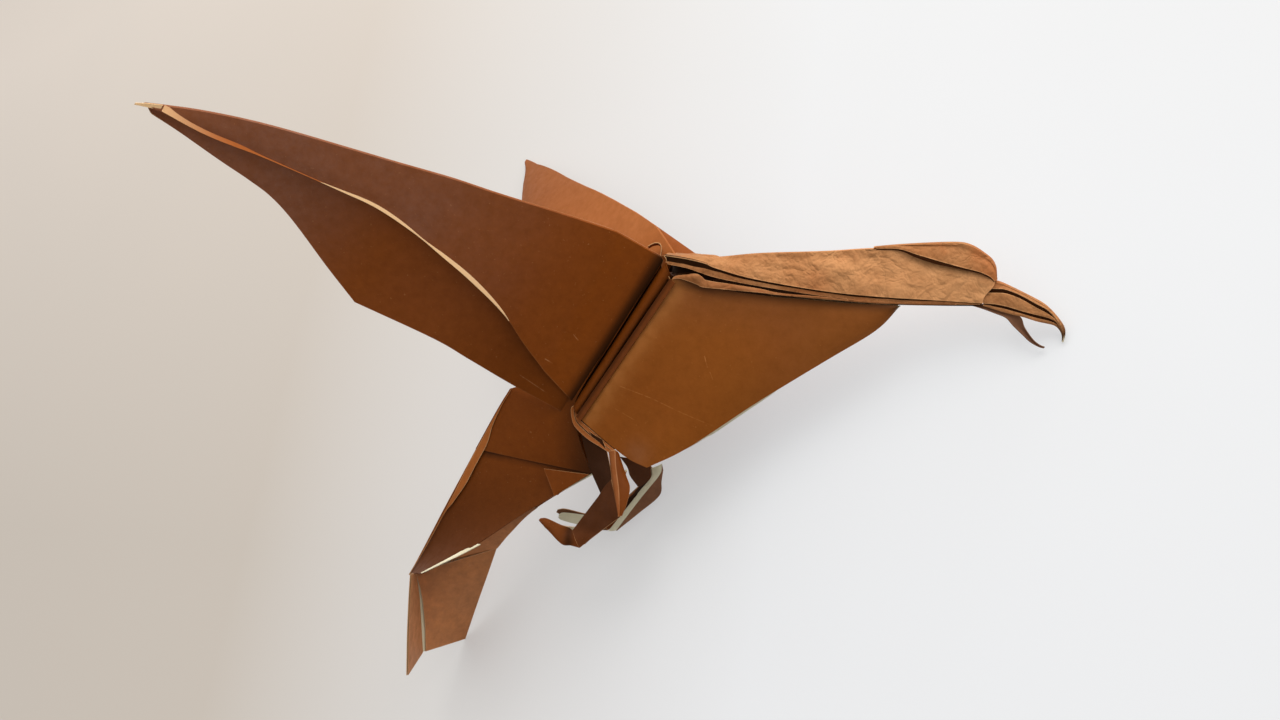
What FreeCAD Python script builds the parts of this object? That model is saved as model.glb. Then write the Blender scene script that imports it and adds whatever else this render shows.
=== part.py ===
import FreeCAD, Part
import math
import os

from FreeCAD import Vector

# Origami eagle folded from one square sheet, with raised wings, a hooked beak, two legs and a fanned tail.
# Lengths are millimetres. The bird is laid out first in its own frame, with its beak towards +X, its left side
# towards +Y and its back towards +Z, and is then laid down on the three points that it comes to rest on.

# Paper
ply = 0.4                    # the two or three layers of paper that are pressed into each wall
crease_width = 0.8           # a pressed fold's width, where the sheet turns back on itself

# Wings
wing_length = 117.0          # from the shoulder to the wing tip
wing_sweep = 46.6            # degrees that the wings point backwards
wing_rise = 14.0             # degrees that the wings point upwards
wing_pitch = 25.6            # degrees that the wings lean back at their rear edge
wing_root_chord = 43.0       # front layer, along the body
wing_corner_chord = 37.0     # rear layer, from the leading fold to the rear corner
leading_bow = 5.0            # how far the leading fold bows forward
wing_crimp = 2.4             # how far the wing root curls outwards
leading_lift = 0.8           # how far the leading fold stands out where it bows most
rear_camber = 5.0            # how far the rear layer bows back behind the front layer

# Shoulders and body
shoulder_forward = 8.5
shoulder_height = 25.5
shoulder_half_width = 5.5
hip_back = 17.0              # rear end of the wing roots, behind the origin
hip_drop = 11.3
hip_half_width = 3.4
pleat_height = 1.3           # how far the crimped fold beside the wing root stands out
pleat_top_width = 4.6
pleat_bottom_width = 3.4
pleat_swell = 1.0            # how far the crimp bows out halfway down
chest_length = 64.0
chest_depth = 25.7           # lowest point of the belly, below the origin
belly_half_width = 5.0
chest_front_half_width = 1.1
chest_top_height = 15.0      # front end of the chest, under the neck
chest_tuck = 0.6             # how far the chest's upper edge reaches up behind the neck's edge

# Back, neck and head
neck_length = 75.0           # from the shoulders to the face
back_height = 25.9
neck_height = 28.2
neck_edge_height = 15.9
neck_half_width = 1.8
layer_step = 1.2             # how far the second layer shows below the first along the neck
cap_start = 57.5
cap_height = 28.9
cap_front = 84.2
cap_depth = 8.4              # from the crown down to the flap's lower end
cap_half_width = 2.1
crown_drop = 5.5             # how far the neck's fold sinks under the front of the cap

# Beak
face_drop = 8.0              # from the crown to the top of the beak
beak_length = 15.0
beak_drop = 12.9
beak_depth = 5.0
beak_half_width = 0.9
lower_beak_inset = 5.5       # how far behind the cap's front end the lower beak begins
lower_beak_length = 15.5
lower_beak_drop = 9.1
lower_beak_width = 2.9

# Tail
tail_top_back = 35.8
tail_top_drop = 8.7
tail_bend_back = 68.1
tail_bend_drop = 62.7
tail_end_back = 66.5
tail_end_drop = 85.5
tail_half_width = 4.0        # upper, closed part
fan_half_width = 15.0        # spread end
fan_corner_back = 56.0       # upper corner of the fan's right half, behind the origin
fan_corner_drop = 57.0
fan_corner_forward = 9.0     # how much nearer the origin the left half's upper corner is
fan_corner_lift = 1.5        # and how much higher

# Legs
leg_root_back = 5.5          # front of the leg's root, behind the origin
leg_root_out = 4.7
leg_root_drop = 21.2
thigh_width = 10.0
thigh_bulge = 1.4
knee_out = 13.0
knee_drop = 36.8
heel_back = 12.7
heel_out = 9.0
heel_drop = 47.0
shin_width = 5.5
toe_length = 13.5
toe_sag = 1.6
leg_gap = 1.2                # between the two layers of a leg


def unit(vector):
    """The same direction with a length of one."""
    return vector * (1.0 / vector.Length)


def between(start, end, share):
    """The point that lies this share of the way from start to end."""
    return start + (end - start) * share


def mirror(point):
    """The same point on the other side of the body."""
    return Vector(point.x, -point.y, point.z)


def lifted(rows, row, column):
    """The step from a point of a grid to the paper's face, mitred so that the paper keeps its thickness."""
    normals = []
    for i in (row - 1, row):
        for j in (column - 1, column):
            if 0 <= i < len(rows) - 1 and 0 <= j < len(rows[0]) - 1:
                diagonal_a = rows[i + 1][j + 1] - rows[i][j]
                diagonal_b = rows[i][j + 1] - rows[i + 1][j]
                normals.append(unit(diagonal_a.cross(diagonal_b)))
    total = Vector()
    for normal in normals:
        total = total + normal
    mean = unit(total)
    spread = sum(mean.dot(normal) for normal in normals) / len(normals)
    return mean * (ply / 2.0 / max(spread, 0.7))


def triangle(a, b, c):
    """A flat three-sided face."""
    return Part.Face(Part.makePolygon([a, b, c, a]))


def sheet(rows):
    """The closed solid of a wall of paper whose middle surface runs through a grid of points."""
    steps = [[lifted(rows, i, j) for j in range(len(rows[0]))] for i in range(len(rows))]
    upper = [[p + s for p, s in zip(*pair)] for pair in zip(rows, steps)]
    lower = [[p - s for p, s in zip(*pair)] for pair in zip(rows, steps)]
    faces = []

    def panel(a, b, c, d):
        faces.append(triangle(a, b, c))
        faces.append(triangle(a, c, d))

    last_row = len(rows) - 1
    last_column = len(rows[0]) - 1
    for i in range(last_row):
        for j in range(last_column):
            panel(upper[i][j], upper[i + 1][j], upper[i + 1][j + 1], upper[i][j + 1])
            panel(lower[i][j], lower[i + 1][j], lower[i + 1][j + 1], lower[i][j + 1])
        for j in (0, last_column):
            panel(upper[i][j], upper[i + 1][j], lower[i + 1][j], lower[i][j])
    for j in range(last_column):
        for i in (0, last_row):
            panel(upper[i][j], upper[i][j + 1], lower[i][j + 1], lower[i][j])
    shell = Part.Shell(faces)
    shell.sewShape()
    solid = Part.Solid(shell)
    if solid.Volume < 0:
        solid.reverse()
    return solid


def tent(right_stations, left_stations=None):
    """A piece folded along a ridge in the middle plane. Each station is a ridge point and one side's points."""
    half = crease_width / 2.0
    rows = []
    for (ridge, right), (_, left) in zip(right_stations, left_stations or right_stations):
        right_side = [Vector(x, -y, z) for x, y, z in reversed(right)]
        left_side = [Vector(x, y, z) for x, y, z in left]
        crease = [Vector(ridge[0], -half, ridge[1]), Vector(ridge[0], half, ridge[1])]
        rows.append(right_side + crease + left_side)
    return sheet(rows)


# The wing's own directions, on the bird's right: along the span, along the chord and out of the front face.
sweep = math.radians(wing_sweep)
rise = math.radians(wing_rise)
pitch = math.radians(wing_pitch)
span = Vector(-math.sin(sweep) * math.cos(rise), -math.cos(sweep) * math.cos(rise), math.sin(rise))
down = Vector(0, 0, -1)
hang = unit(down - span * down.dot(span))
chord = hang * math.cos(pitch) - span.cross(hang) * math.sin(pitch)
outward = unit(span.cross(chord))
shoulder = Vector(shoulder_forward, -shoulder_half_width, shoulder_height)
hip = Vector(-hip_back, -hip_half_width, -hip_drop)


def on_wing(along, across, out):
    """A point of the right wing from its distances along the span, along the chord and out of its plane."""
    return shoulder + span * along + chord * across + outward * (out - wing_crimp)


# Stations from the root to the tip. Each has the shares of the wing's length at which it meets the leading
# fold, the front layer's free edge and the rear edge, and the shares of the chords that the layers reach.
wing_stations = [
    (0.000, 0.00, 0.074, 1.00, 0.052, 1.31),
    (0.113, 0.55, 0.147, 0.88, 0.195, 1.21),
    (0.231, 0.70, 0.215, 0.73, 0.303, 1.07),
    (0.367, 0.82, 0.278, 0.58, 0.388, 1.01),
    (0.462, 0.95, 0.364, 0.43, 0.562, 0.89),
    (0.564, 0.97, 0.445, 0.31, 0.626, 0.70),
    (0.667, 0.99, 0.513, 0.22, 0.710, 0.46),
    (0.762, 1.00, 0.585, 0.15, 0.783, 0.30),
    (0.838, 0.90, 0.664, 0.11, 0.846, 0.16),
    (0.912, 0.75, 0.785, 0.07, 0.887, 0.13),
    (0.966, 0.60, 0.902, 0.04, 0.940, 0.05),
    (1.000, 0.45, 0.979, -0.04, 0.985, -0.02),
]


def wing_rows():
    """The right wing: a rear layer and a front layer that hang together along the leading fold."""
    rows = []
    for place, bow, free_place, free_share, rear_place, rear_share in wing_stations:
        curl = wing_crimp * max(0.0, 1.0 - place / 0.113)
        bulge = rear_camber * math.sin(math.pi * min(1.0, max(0.0, place)))
        front_fold = on_wing(wing_length * place, -leading_bow * bow, curl + leading_lift * bow)
        rear_fold = front_fold - outward * crease_width
        free = on_wing(wing_length * free_place, wing_root_chord * free_share, curl + leading_lift * bow)
        rear = on_wing(wing_length * rear_place, wing_corner_chord * rear_share, curl - bulge)
        rows.append([rear, between(rear_fold, rear, 0.5), rear_fold, front_fold, between(front_fold, free, 0.5), free])
    return rows


def pleat_rows():
    """The crimp beside the right wing's root: two narrow strips that stand up in a ridge."""
    top_step = Vector(0.33, -0.02, -1.0)
    bottom_step = Vector(0.45, -0.1, -0.85)
    bump = Vector(0.15, -1.0, 0) * pleat_height
    rows = []
    for share in (0.0, 0.5, 1.0):
        root = between(shoulder, hip, share)
        step = between(unit(top_step) * pleat_top_width, unit(bottom_step) * pleat_bottom_width, share)
        if share == 0.5:
            root = root + Vector(0.6, -0.5, 0.6) * pleat_swell
        rows.append([root, root + step * 0.4 + bump, root + step * 0.9, root + step * 1.1 + bump * 0.4])
    return rows


# Stations along a layer of the back, from the shoulders to the face. Each has the share of its length, the shares
# of the rise of its ridge and of its opening, and the share of the way down to the neck's lower edge.
neck_stations = [
    (0.000, 0.00, 1.00, -0.02),
    (0.070, 0.00, 0.84, 0.11),
    (0.250, 0.22, 0.40, 0.46),
    (0.490, 0.48, 0.15, 0.78),
    (0.660, 0.78, 0.06, 0.90),
    (0.840, 1.00, 0.00, 0.97),
    (0.985, 0.90, -0.10, 1.00),
]


def neck_edge(x):
    """The point of the inner layer's lower edge, on the left, that lies this far forward."""
    place = (x - shoulder_forward) / (neck_length - 2.0 * crease_width)
    for before, after in zip(neck_stations, neck_stations[1:]):
        if place <= after[0] or after is neck_stations[-1]:
            share = (place - before[0]) / (after[0] - before[0])
            width_share = before[2] + (after[2] - before[2]) * share
            drop_share = before[3] + (after[3] - before[3]) * share
            break
    width = neck_half_width + (shoulder_half_width - neck_half_width) * width_share - ply / 2.0
    return Vector(x, width, back_height + (neck_edge_height - back_height) * drop_share - layer_step)


def chest_rows():
    """The right side of the chest and belly, which hangs from the neck's inner layer and is open below."""
    crimp = pleat_rows()
    rows = [[crimp[0][-1], crimp[1][-1], crimp[2][-1]]]
    drop = chest_depth + chest_top_height
    spare = belly_half_width - chest_front_half_width
    # Each station: the share of the chest's length at the top edge and at the bottom edge, the bottom edge's
    # height as a share of the depth below the chest's front, and its opening.
    for top_share, low_share, low_height, opening in (
        (0.22, -0.10, 0.89, 0.92),
        (0.29, -0.03, 0.95, 0.98),
        (0.37, 0.08, 1.00, 1.00),
        (0.51, 0.22, 0.88, 0.72),
        (0.64, 0.48, 0.585, 0.14),
        (0.78, 0.73, 0.325, 0.02),
        (0.90, 0.915, 0.135, 0.00),
        (0.99, 1.00, 0.02, 0.00),
    ):
        top = mirror(neck_edge(chest_length * top_share)) + Vector(0, 0, chest_tuck)
        low_out = chest_front_half_width + spare * opening
        low = Vector(chest_length * low_share, -low_out, chest_top_height - drop * low_height)
        rows.append([top, between(top, low, 0.5), low])
    return rows


def back_and_neck(step, inset, front_trim):
    """A layer of the back: flat between the shoulders, closing into the neck's sharp fold at the front."""
    stations = []
    for share, rise_share, width_share, drop_share in neck_stations:
        x = shoulder_forward + (neck_length - front_trim) * share
        ridge = back_height + (neck_height - back_height) * rise_share - step * 0.8
        if share > 0.9:
            ridge = cap_height - crown_drop - step
        width = neck_half_width + (shoulder_half_width - neck_half_width) * width_share - inset
        edge = back_height + (neck_edge_height - back_height) * drop_share - step
        stations.append(((x, ridge), [(x, width, edge)]))
    return tent(stations)


def head_cap():
    """The flap folded over the crown of the head, rounded down to the face."""
    stations = []
    reach = cap_front - cap_start
    # Each station: the ridge's place and drop, the lower edge's place and drop, and the opening, all as shares.
    for ridge_x, ridge_drop, edge_x, edge_drop, width in (
        (0.00, 0.12, 0.04, 0.155, 0.30),
        (0.24, 0.05, 0.30, 0.215, 0.75),
        (0.47, 0.00, 0.52, 0.50, 0.95),
        (0.70, 0.00, 0.67, 0.62, 1.00),
        (0.83, 0.095, 0.82, 0.715, 0.92),
        (0.92, 0.31, 0.92, 0.835, 0.78),
        (0.99, 0.595, 0.97, 0.965, 0.55),
        (1.00, 0.905, 0.98, 1.00, 0.42),
    ):
        ridge = (cap_start + reach * ridge_x, cap_height - cap_depth * ridge_drop)
        edge = (cap_start + reach * edge_x, cap_half_width * width, cap_height - cap_depth * edge_drop)
        stations.append((ridge, [edge]))
    return tent(stations)


def upper_beak():
    """The hooked upper beak, a narrow closed fold that grows out of the face."""
    root_z = cap_height - face_drop
    stations = []
    for ridge_x, ridge_z, edge_x, edge_z, width in (
        (-0.28, 0.02, -0.40, 1.00, 1.2),
        (0.00, 0.00, -0.15, 1.05, 1.0),
        (0.24, 0.12, 0.14, 1.35, 0.95),
        (0.45, 0.23, 0.35, 1.53, 0.9),
        (0.61, 0.33, 0.59, 1.73, 0.85),
        (0.75, 0.43, 0.74, 1.83, 0.8),
        (0.85, 0.55, 0.85, 1.95, 0.75),
        (0.93, 0.68, 0.91, 2.10, 0.7),
        (0.99, 0.87, 0.955, 2.35, 0.65),
        (0.97, 1.00, 0.96, 2.55, 0.6),
    ):
        ridge = (cap_front + beak_length * ridge_x, root_z - beak_drop * ridge_z)
        edge = (cap_front + beak_length * edge_x, beak_half_width * width, root_z - beak_depth * edge_z)
        stations.append((ridge, [edge]))
    return tent(stations)


def lower_beak():
    """The thin lower beak, which curls down and forward from under the face."""
    root = Vector(cap_front - lower_beak_inset, 0, neck_edge_height)
    rows = []
    for along, drop, width, turn, spread in (
        (0.00, 0.00, 0.30, 75.0, 1.2),
        (0.35, 0.17, 0.60, 65.0, 0.9),
        (0.60, 0.33, 1.00, 40.0, 0.6),
        (0.67, 0.44, 0.85, 15.0, 0.5),
        (0.74, 0.62, 0.60, 15.0, 0.5),
        (0.83, 0.80, 0.40, 30.0, 0.5),
        (0.92, 0.92, 0.25, 50.0, 0.5),
        (1.00, 1.00, 0.12, 60.0, 0.5),
    ):
        middle = root + Vector(lower_beak_length * along, 0, -lower_beak_drop * drop)
        reach = lower_beak_width * width / 2.0
        across = Vector(math.cos(math.radians(turn)), 0, math.sin(math.radians(turn))) * reach
        side = Vector(0, beak_half_width * spread, 0)
        rows.append([middle - across - side, middle + across - side, middle + across + side, middle - across + side])
    return sheet(rows)


def tail_stations(corner_back, corner_drop, corner_share):
    """One side of the rear fold of the body, from between the wings, down the tail and out to its fan."""
    wing_root = right_wing[0]
    top = mirror(wing_root[2])
    bottom = mirror(wing_root[0])
    stations = [
        ((0.41 * shoulder_forward, 0.92 * shoulder_height), [tuple(top)]),
        ((-0.5 * hip_back, 0.35 * shoulder_height), [tuple(between(top, bottom, 0.5))]),
        ((-1.3 * hip_back, -0.4 * hip_drop), [tuple(between(top, bottom, 0.95))]),
    ]
    # Each station: its share of the way down the spine, and its lower edge's place, opening and drop as shares.
    for share, edge_back, opening, edge_drop in (
        (0.00, 0.250, 0.85, 0.239),
        (0.27, 0.178, 0.95, 0.458),
        (0.64, 0.460, 1.10, 0.657),
        (0.86, 0.661, 2.20, 0.813),
    ):
        spine = (-tail_top_back - (tail_bend_back - tail_top_back) * share,
                 -tail_top_drop - (tail_bend_drop - tail_top_drop) * share)
        edge = (-tail_bend_back * edge_back, tail_half_width * opening, -tail_bend_drop * edge_drop)
        stations.append((spine, [edge]))
    corner = (-corner_back, fan_half_width * corner_share, -corner_drop)
    stations.append(((-tail_bend_back, -tail_bend_drop), [corner]))
    end = (-0.908 * tail_end_back, fan_half_width, -0.994 * tail_end_drop)
    stations.append(((-tail_end_back, -tail_end_drop), [end]))
    return stations


def leg_rows():
    """The right leg: a strip folded along its front edge, from the belly to the knee, the heel and the toe."""
    knee = Vector(0.0, -knee_out, -knee_drop)
    heel = Vector(-heel_back, -heel_out, -heel_drop)
    shin_up = unit(Vector(-0.55, 0.35, 0.6)) * shin_width
    hip_front = Vector(-leg_root_back, -leg_root_out, -leg_root_drop)
    thigh = between(hip_front, knee, 0.7)
    toe_tip = heel + unit(Vector(-0.92, 0.28, 0.32)) * toe_length
    inward = Vector(0.3, 1.0, 0.2) * leg_gap
    rows = []
    for front, back in (
        (hip_front, hip_front + Vector(-1.0, 0.12, 0.3) * thigh_width),
        (thigh + Vector(1.0, 0.7, 0.35) * thigh_bulge, thigh + shin_up * 0.9),
        (knee, knee + shin_up * 1.25),
        (between(knee, heel, 0.5), between(knee, heel, 0.5) + shin_up),
        (heel, heel + shin_up * 0.85),
        (between(heel, toe_tip, 0.4) - Vector(0, 0, toe_sag), between(heel, toe_tip, 0.4) + shin_up * 0.55),
        (between(heel, toe_tip, 0.8), between(heel, toe_tip, 0.8) + shin_up * 0.3),
        (toe_tip, toe_tip + shin_up * 0.12),
    ):
        rows.append([back, front, front + inward * 0.6, back + inward])
    return rows


def laid_down(shape, left_wing_tip, left_tail_corner, beak_tip):
    """The bird lying on its left side, on those three points, with its beak towards +X."""
    up = unit((left_tail_corner - beak_tip).cross(left_wing_tip - beak_tip))
    if up.y > 0:
        up = -up
    forward = unit(Vector(1, 0, 0) - up * up.x)
    turn = FreeCAD.Rotation(forward, up.cross(forward), up, "ZXY").inverted()
    lying = shape.transformed(FreeCAD.Placement(Vector(), turn).toMatrix())
    box = lying.BoundBox
    lying.translate(Vector(-box.Center.x, -box.Center.y, -box.ZMin))
    return lying


right_wing = wing_rows()
left_corner_back = fan_corner_back - fan_corner_forward
left_corner_drop = fan_corner_drop - fan_corner_lift
right_tail = tail_stations(fan_corner_back, fan_corner_drop, 0.95)
left_tail = tail_stations(left_corner_back, left_corner_drop, 0.73)
solids = [back_and_neck(0.0, 0.0, 0.0), back_and_neck(layer_step, ply / 2.0, 2.0 * crease_width)]
solids += [head_cap(), upper_beak(), lower_beak(), tent(right_tail, left_tail)]
for rows in (right_wing, pleat_rows(), chest_rows(), leg_rows()):
    solids.append(sheet(rows))
    solids.append(sheet([[mirror(point) for point in row] for row in rows]))
bird = solids[0].multiFuse(solids[1:])
print("pieces fused", len(bird.Solids), "valid", bird.isValid(), "volume", round(bird.Volume, 1))

left_wing_tip = mirror(right_wing[-1][2])
left_tail_corner = Vector(*left_tail[-1][1][0])
beak_tip = Vector(cap_front + beak_length * 0.97, beak_half_width * 0.6, cap_height - face_drop - beak_drop)
folded_sheet = laid_down(bird, left_wing_tip, left_tail_corner, beak_tip)
print("laid down", folded_sheet.BoundBox)

os.makedirs("parts", exist_ok=True)
folded_sheet.exportStep("parts/folded_sheet.step")
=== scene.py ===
import math

import bpy
from bpy.props import FloatProperty, FloatVectorProperty, IntProperty, PointerProperty
from mathutils import Matrix, Vector, noise


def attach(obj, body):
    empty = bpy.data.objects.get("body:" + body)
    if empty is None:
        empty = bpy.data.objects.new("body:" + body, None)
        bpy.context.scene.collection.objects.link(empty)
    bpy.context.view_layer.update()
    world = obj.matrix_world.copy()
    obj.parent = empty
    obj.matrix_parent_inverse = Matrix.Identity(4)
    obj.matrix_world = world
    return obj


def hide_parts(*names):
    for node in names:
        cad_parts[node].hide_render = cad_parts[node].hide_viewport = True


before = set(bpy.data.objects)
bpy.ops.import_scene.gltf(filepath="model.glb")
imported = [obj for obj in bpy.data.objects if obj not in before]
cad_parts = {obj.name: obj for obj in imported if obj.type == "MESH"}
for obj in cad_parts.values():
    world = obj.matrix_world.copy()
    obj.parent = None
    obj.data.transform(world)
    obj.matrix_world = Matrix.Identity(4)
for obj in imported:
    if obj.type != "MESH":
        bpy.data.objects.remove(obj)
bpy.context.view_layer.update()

bl_info = {
    "name": "Origami Eagle",
    "version": (1, 0, 0),
    "blender": (4, 5, 0),
    "location": "View3D > Sidebar > Eagle",
    "description": "Folds a paper eagle, panel by panel, around its packed frame and sets the stage for it",
    "category": "Object",
}

# The bird is drawn in its own frame, in millimetres: +X to the beak, +Y to its left side, +Z to its back.
# It lies on its left wing's tip, its left tail corner and its beak's tip, and TURN and ORIGIN put it there.
LEFT_WING_TIP = Vector((-73.9, 82.5, 56.6))
LEFT_TAIL_CORNER = Vector((-60.4, 15.0, -85.0))
BEAK_TIP = Vector((98.75, 0.54, 8.0))
ORIGIN = Vector((-4.60, -0.58, 27.48))
UP = (LEFT_TAIL_CORNER - BEAK_TIP).cross(LEFT_WING_TIP - BEAK_TIP).normalized()
UP = -UP if UP.y > 0 else UP
FORWARD = (Vector((1, 0, 0)) - UP * UP.x).normalized()
TURN = Matrix((FORWARD, UP.cross(FORWARD), UP))
MM = 0.001

# The sheet's material slots, and the finish in each
BROWN, DORSAL, TAN, UMBER, CREAM, EDGE, GLOW, PANEL = range(8)
FINISH_NAMES = ("brown_paper", "turned_margin", "crinkled_tan_paper", "umber_paper",
                "cream_paper", "paper_edge", "lining_glow", "chest_paper")

STEPS = 8                  # cells between two stations of a border, where nothing else is said
BORDER_CELL = 0.7          # twice the width of the band of cells along a wall's border, in millimetres
BORDER_RISE = 5.0          # swells reach their full height a fifth of the way in from a border
RIDGE_RISE = 3.0           # and a third of the way down from a ridge
SHARP_ANGLE = math.radians(30)


def laid(point):
    """A point of the bird's own frame, laid down, in metres."""
    return (TURN @ point + ORIGIN) * MM


def path(*corners):
    """Points of the bird's own frame."""
    return [Vector(corner) for corner in corners]


def midline(places):
    """Points of the bird's middle plane, from how far forward and how high each is."""
    return [Vector((forward, 0.0, high)) for forward, high in places]


def mix(a, b, share):
    """The value that lies this share of the way from a to b."""
    return a + (b - a) * share


def ramp(value, low, high):
    """0 below low, 1 above high and a smooth rise between them."""
    share = min(1.0, max(0.0, (value - low) / (high - low)))
    return share * share * (3.0 - 2.0 * share)


def mirror(point):
    """The same point on the bird's other side."""
    return Vector((point.x, -point.y, point.z))


# ---------------------------------------------------------------- paper as grids of points

def smooth(points, steps):
    """A smooth line through the points, with this many steps from each to the next."""
    if len(points) == 2:
        return [mix(points[0], points[1], k / steps) for k in range(steps + 1)]
    ends = [points[0] * 2 - points[1]] + list(points) + [points[-1] * 2 - points[-2]]
    line = []
    for p0, p1, p2, p3 in zip(ends, ends[1:], ends[2:], ends[3:]):
        for k in range(steps):
            t = k / steps
            line.append((p1 * 2 + (p2 - p0) * t + (p0 * 2 - p1 * 5 + p2 * 4 - p3) * t * t
                         + (p1 * 3 - p0 - p2 * 3 + p3) * t * t * t) * 0.5)
    line.append(points[-1].copy())
    return line


def creased(points, steps, corners=()):
    """The same, but with a sharp corner at each of the points named in corners."""
    stops = [0] + sorted(corners) + [len(points) - 1]
    line = []
    for start, end in zip(stops, stops[1:]):
        line += smooth(points[start:end + 1], steps)[:-1]
    return line + [points[-1].copy()]


def refined(rows, along, across, corners):
    """A finer grid through a coarse one, smooth except at the columns where it is folded."""
    columns = [creased(list(column), along) for column in zip(*rows)]
    return [creased(list(row), across, corners) for row in zip(*columns)]


def leaf(near, far, along, across, corners=(), bulge=0.0):
    """A panel between two borders, given as matching points, that may belly out in the middle."""
    rows = []
    for a, b in zip(creased(near, along, corners), creased(far, along, corners)):
        rows.append([mix(a, b, k / across) for k in range(across + 1)])
    if bulge:
        facing = normals(rows)
        for row, ways in zip(rows, facing):
            for j, way in enumerate(ways):
                row[j] = row[j] + way * (bulge * math.sin(math.pi * j / across))
    return rows


def normals(rows):
    """The direction that the sheet faces at each point of its grid."""
    result = []
    last_row, last_column = len(rows) - 1, len(rows[0]) - 1
    for i in range(last_row + 1):
        line = []
        for j in range(last_column + 1):
            down = rows[min(i + 1, last_row)][j] - rows[max(i - 1, 0)][j]
            side = rows[i][min(j + 1, last_column)] - rows[i][max(j - 1, 0)]
            line.append(down.cross(side).normalized())
        result.append(line)
    return result


def moved(rows, move):
    """The grid with each point moved along the way it faces by what move says of the point."""
    return [[p + way * move(p) for p, way in zip(*pair)] for pair in zip(rows, normals(rows))]


def shifted(rows, distance):
    """The grid moved as a whole along the way it faces."""
    return moved(rows, lambda point: distance)


def flipped(rows):
    """The grid on the bird's other side, still facing outwards."""
    return [[mirror(point) for point in reversed(row)] for row in rows]


def buckled(rows, height, size, seed, ridged=False):
    """The grid with the slight swells that handled paper keeps, still at its borders and along its ridge."""
    facing = normals(rows)
    last_row, last_column = len(rows) - 1, len(rows[0]) - 1
    result = []
    for i, row in enumerate(rows):
        line = []
        for j, point in enumerate(row):
            calm = min(1.0, BORDER_RISE * min(i, last_row - i) / last_row)
            calm *= min(1.0, BORDER_RISE * min(j, last_column - j) / last_column)
            if ridged:
                calm *= min(1.0, RIDGE_RISE * abs(2 * j - last_column) / last_column)
            swell = noise.noise(point / size + Vector((seed, seed, 0)))
            line.append(point + facing[i][j] * (height * swell * calm))
        result.append(line)
    return result


def guarded(rows, margin):
    """The grid with a narrow band of cells along each border, which keeps worn edges narrow."""
    def near(end, neighbour):
        """A point between a line's end and its neighbour, half a margin away at most."""
        away = neighbour - end
        return end + away * min(1.0, margin / max(margin, away.length)) * 0.5

    def inset(line):
        """The line with such a point added beside each of its ends."""
        return [line[0], near(line[0], line[1])] + list(line[1:-1]) + [near(line[-1], line[-2]), line[-1]]
    rows = [inset(row) for row in rows]
    columns = [inset(list(column)) for column in zip(*rows)]
    return [list(row) for row in zip(*columns)]


class Paper:
    """Walls of paper gathered into one mesh: each is a grid of points with two faces and a cut rim."""

    def __init__(self, settings):
        self.thickness = settings.paper.thickness
        self.colours = settings.colours
        self.points, self.faces, self.finish = [], [], []
        self.marks = {"wear_and_highlight": [], "tone": [], "shade": []}

    def wall(self, rows, face, back, rim=EDGE, tone=0.0, shade=0.0, rubbed=0.0, worn=1.0):
        """Adds a wall. Tone, shade and the rubbing mark, 0 to 1, are numbers or are worked out from each
        point. Shade is painted shade; tone is the paper's tone, and in places a painted sheen; the rubbing
        mark is wear, and in places a painted highlight.
        """
        rows = guarded(rows, BORDER_CELL)
        facing = normals(rows)
        base = len(self.points)
        height, width = len(rows), len(rows[0])
        for sign in (0.5, -0.5):
            for i in range(height):
                for j in range(width):
                    point = rows[i][j]
                    self.points.append(laid(point + facing[i][j] * (self.thickness * sign)))
                    border = i in (0, height - 1) or j in (0, width - 1)
                    for label, mark in (("wear_and_highlight", rubbed), ("tone", tone), ("shade", shade)):
                        self.marks[label].append(mark(point) if callable(mark) else mark)
                    if border:
                        self.marks["wear_and_highlight"][-1] = worn
        under = base + height * width
        for i in range(height - 1):
            for j in range(width - 1):
                a, b = i * width + j, (i + 1) * width + j
                self._face((base + a, base + b, base + b + 1, base + a + 1), face)
                self._face((under + a, under + a + 1, under + b + 1, under + b), back)
        ring = list(range(width))
        ring += [i * width + width - 1 for i in range(1, height)]
        ring += [(height - 1) * width + j for j in range(width - 2, -1, -1)]
        ring += [i * width for i in range(height - 2, 0, -1)]
        for a, b in zip(ring, ring[1:] + ring[:1]):
            self._face((base + a, base + b, under + b, under + a), rim)

    def both(self, rows, face, back, **more):
        """Adds a wall and its match on the bird's other side."""
        self.wall(rows, face, back, **more)
        self.wall(flipped(rows), face, back, **more)

    def _face(self, corners, finish):
        """Adds one face and its finish."""
        self.faces.append(corners)
        self.finish.append(finish)

    def built(self, name):
        """The mesh object of everything added."""
        mesh = bpy.data.meshes.new(name)
        mesh.from_pydata(self.points, [], self.faces)
        for material in finishes(self.colours):
            mesh.materials.append(material)
        mesh.polygons.foreach_set("material_index", self.finish)
        for label, values in self.marks.items():
            layer = mesh.attributes.new(label, "FLOAT", "POINT")
            layer.data.foreach_set("value", values)
        mesh.polygons.foreach_set("use_smooth", [True] * len(self.faces))
        mesh.update()
        mesh.set_sharp_from_angle(angle=SHARP_ANGLE)
        piece = bpy.data.objects.new(name, mesh)
        bpy.context.scene.collection.objects.link(piece)
        return piece


def height_at(table, x):
    """The height of a row of points at this place along the bird."""
    for (x0, _, z0), (x1, _, z1) in zip(table, table[1:]):
        if x <= x1:
            return mix(z0, z1, max(0.0, (x - x0) / (x1 - x0)))
    return table[-1][2]


def shadow_slit(paper, upper, lower, inset, dark=0.93):
    """A sheet painted dark as the shade in the mouth between two layers, from under one layer's edge to the
    next layer, on both sides.
    """
    rows = leaf(upper, lower, STEPS, 3)
    rows = [[point + Vector((0, inset, 0.3 if k == 0 else 0)) for k, point in enumerate(row)] for row in rows]
    paper.both(rows, BROWN, BROWN, rim=BROWN, shade=dark, worn=0.0)


# ---------------------------------------------------------------- settings

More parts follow.
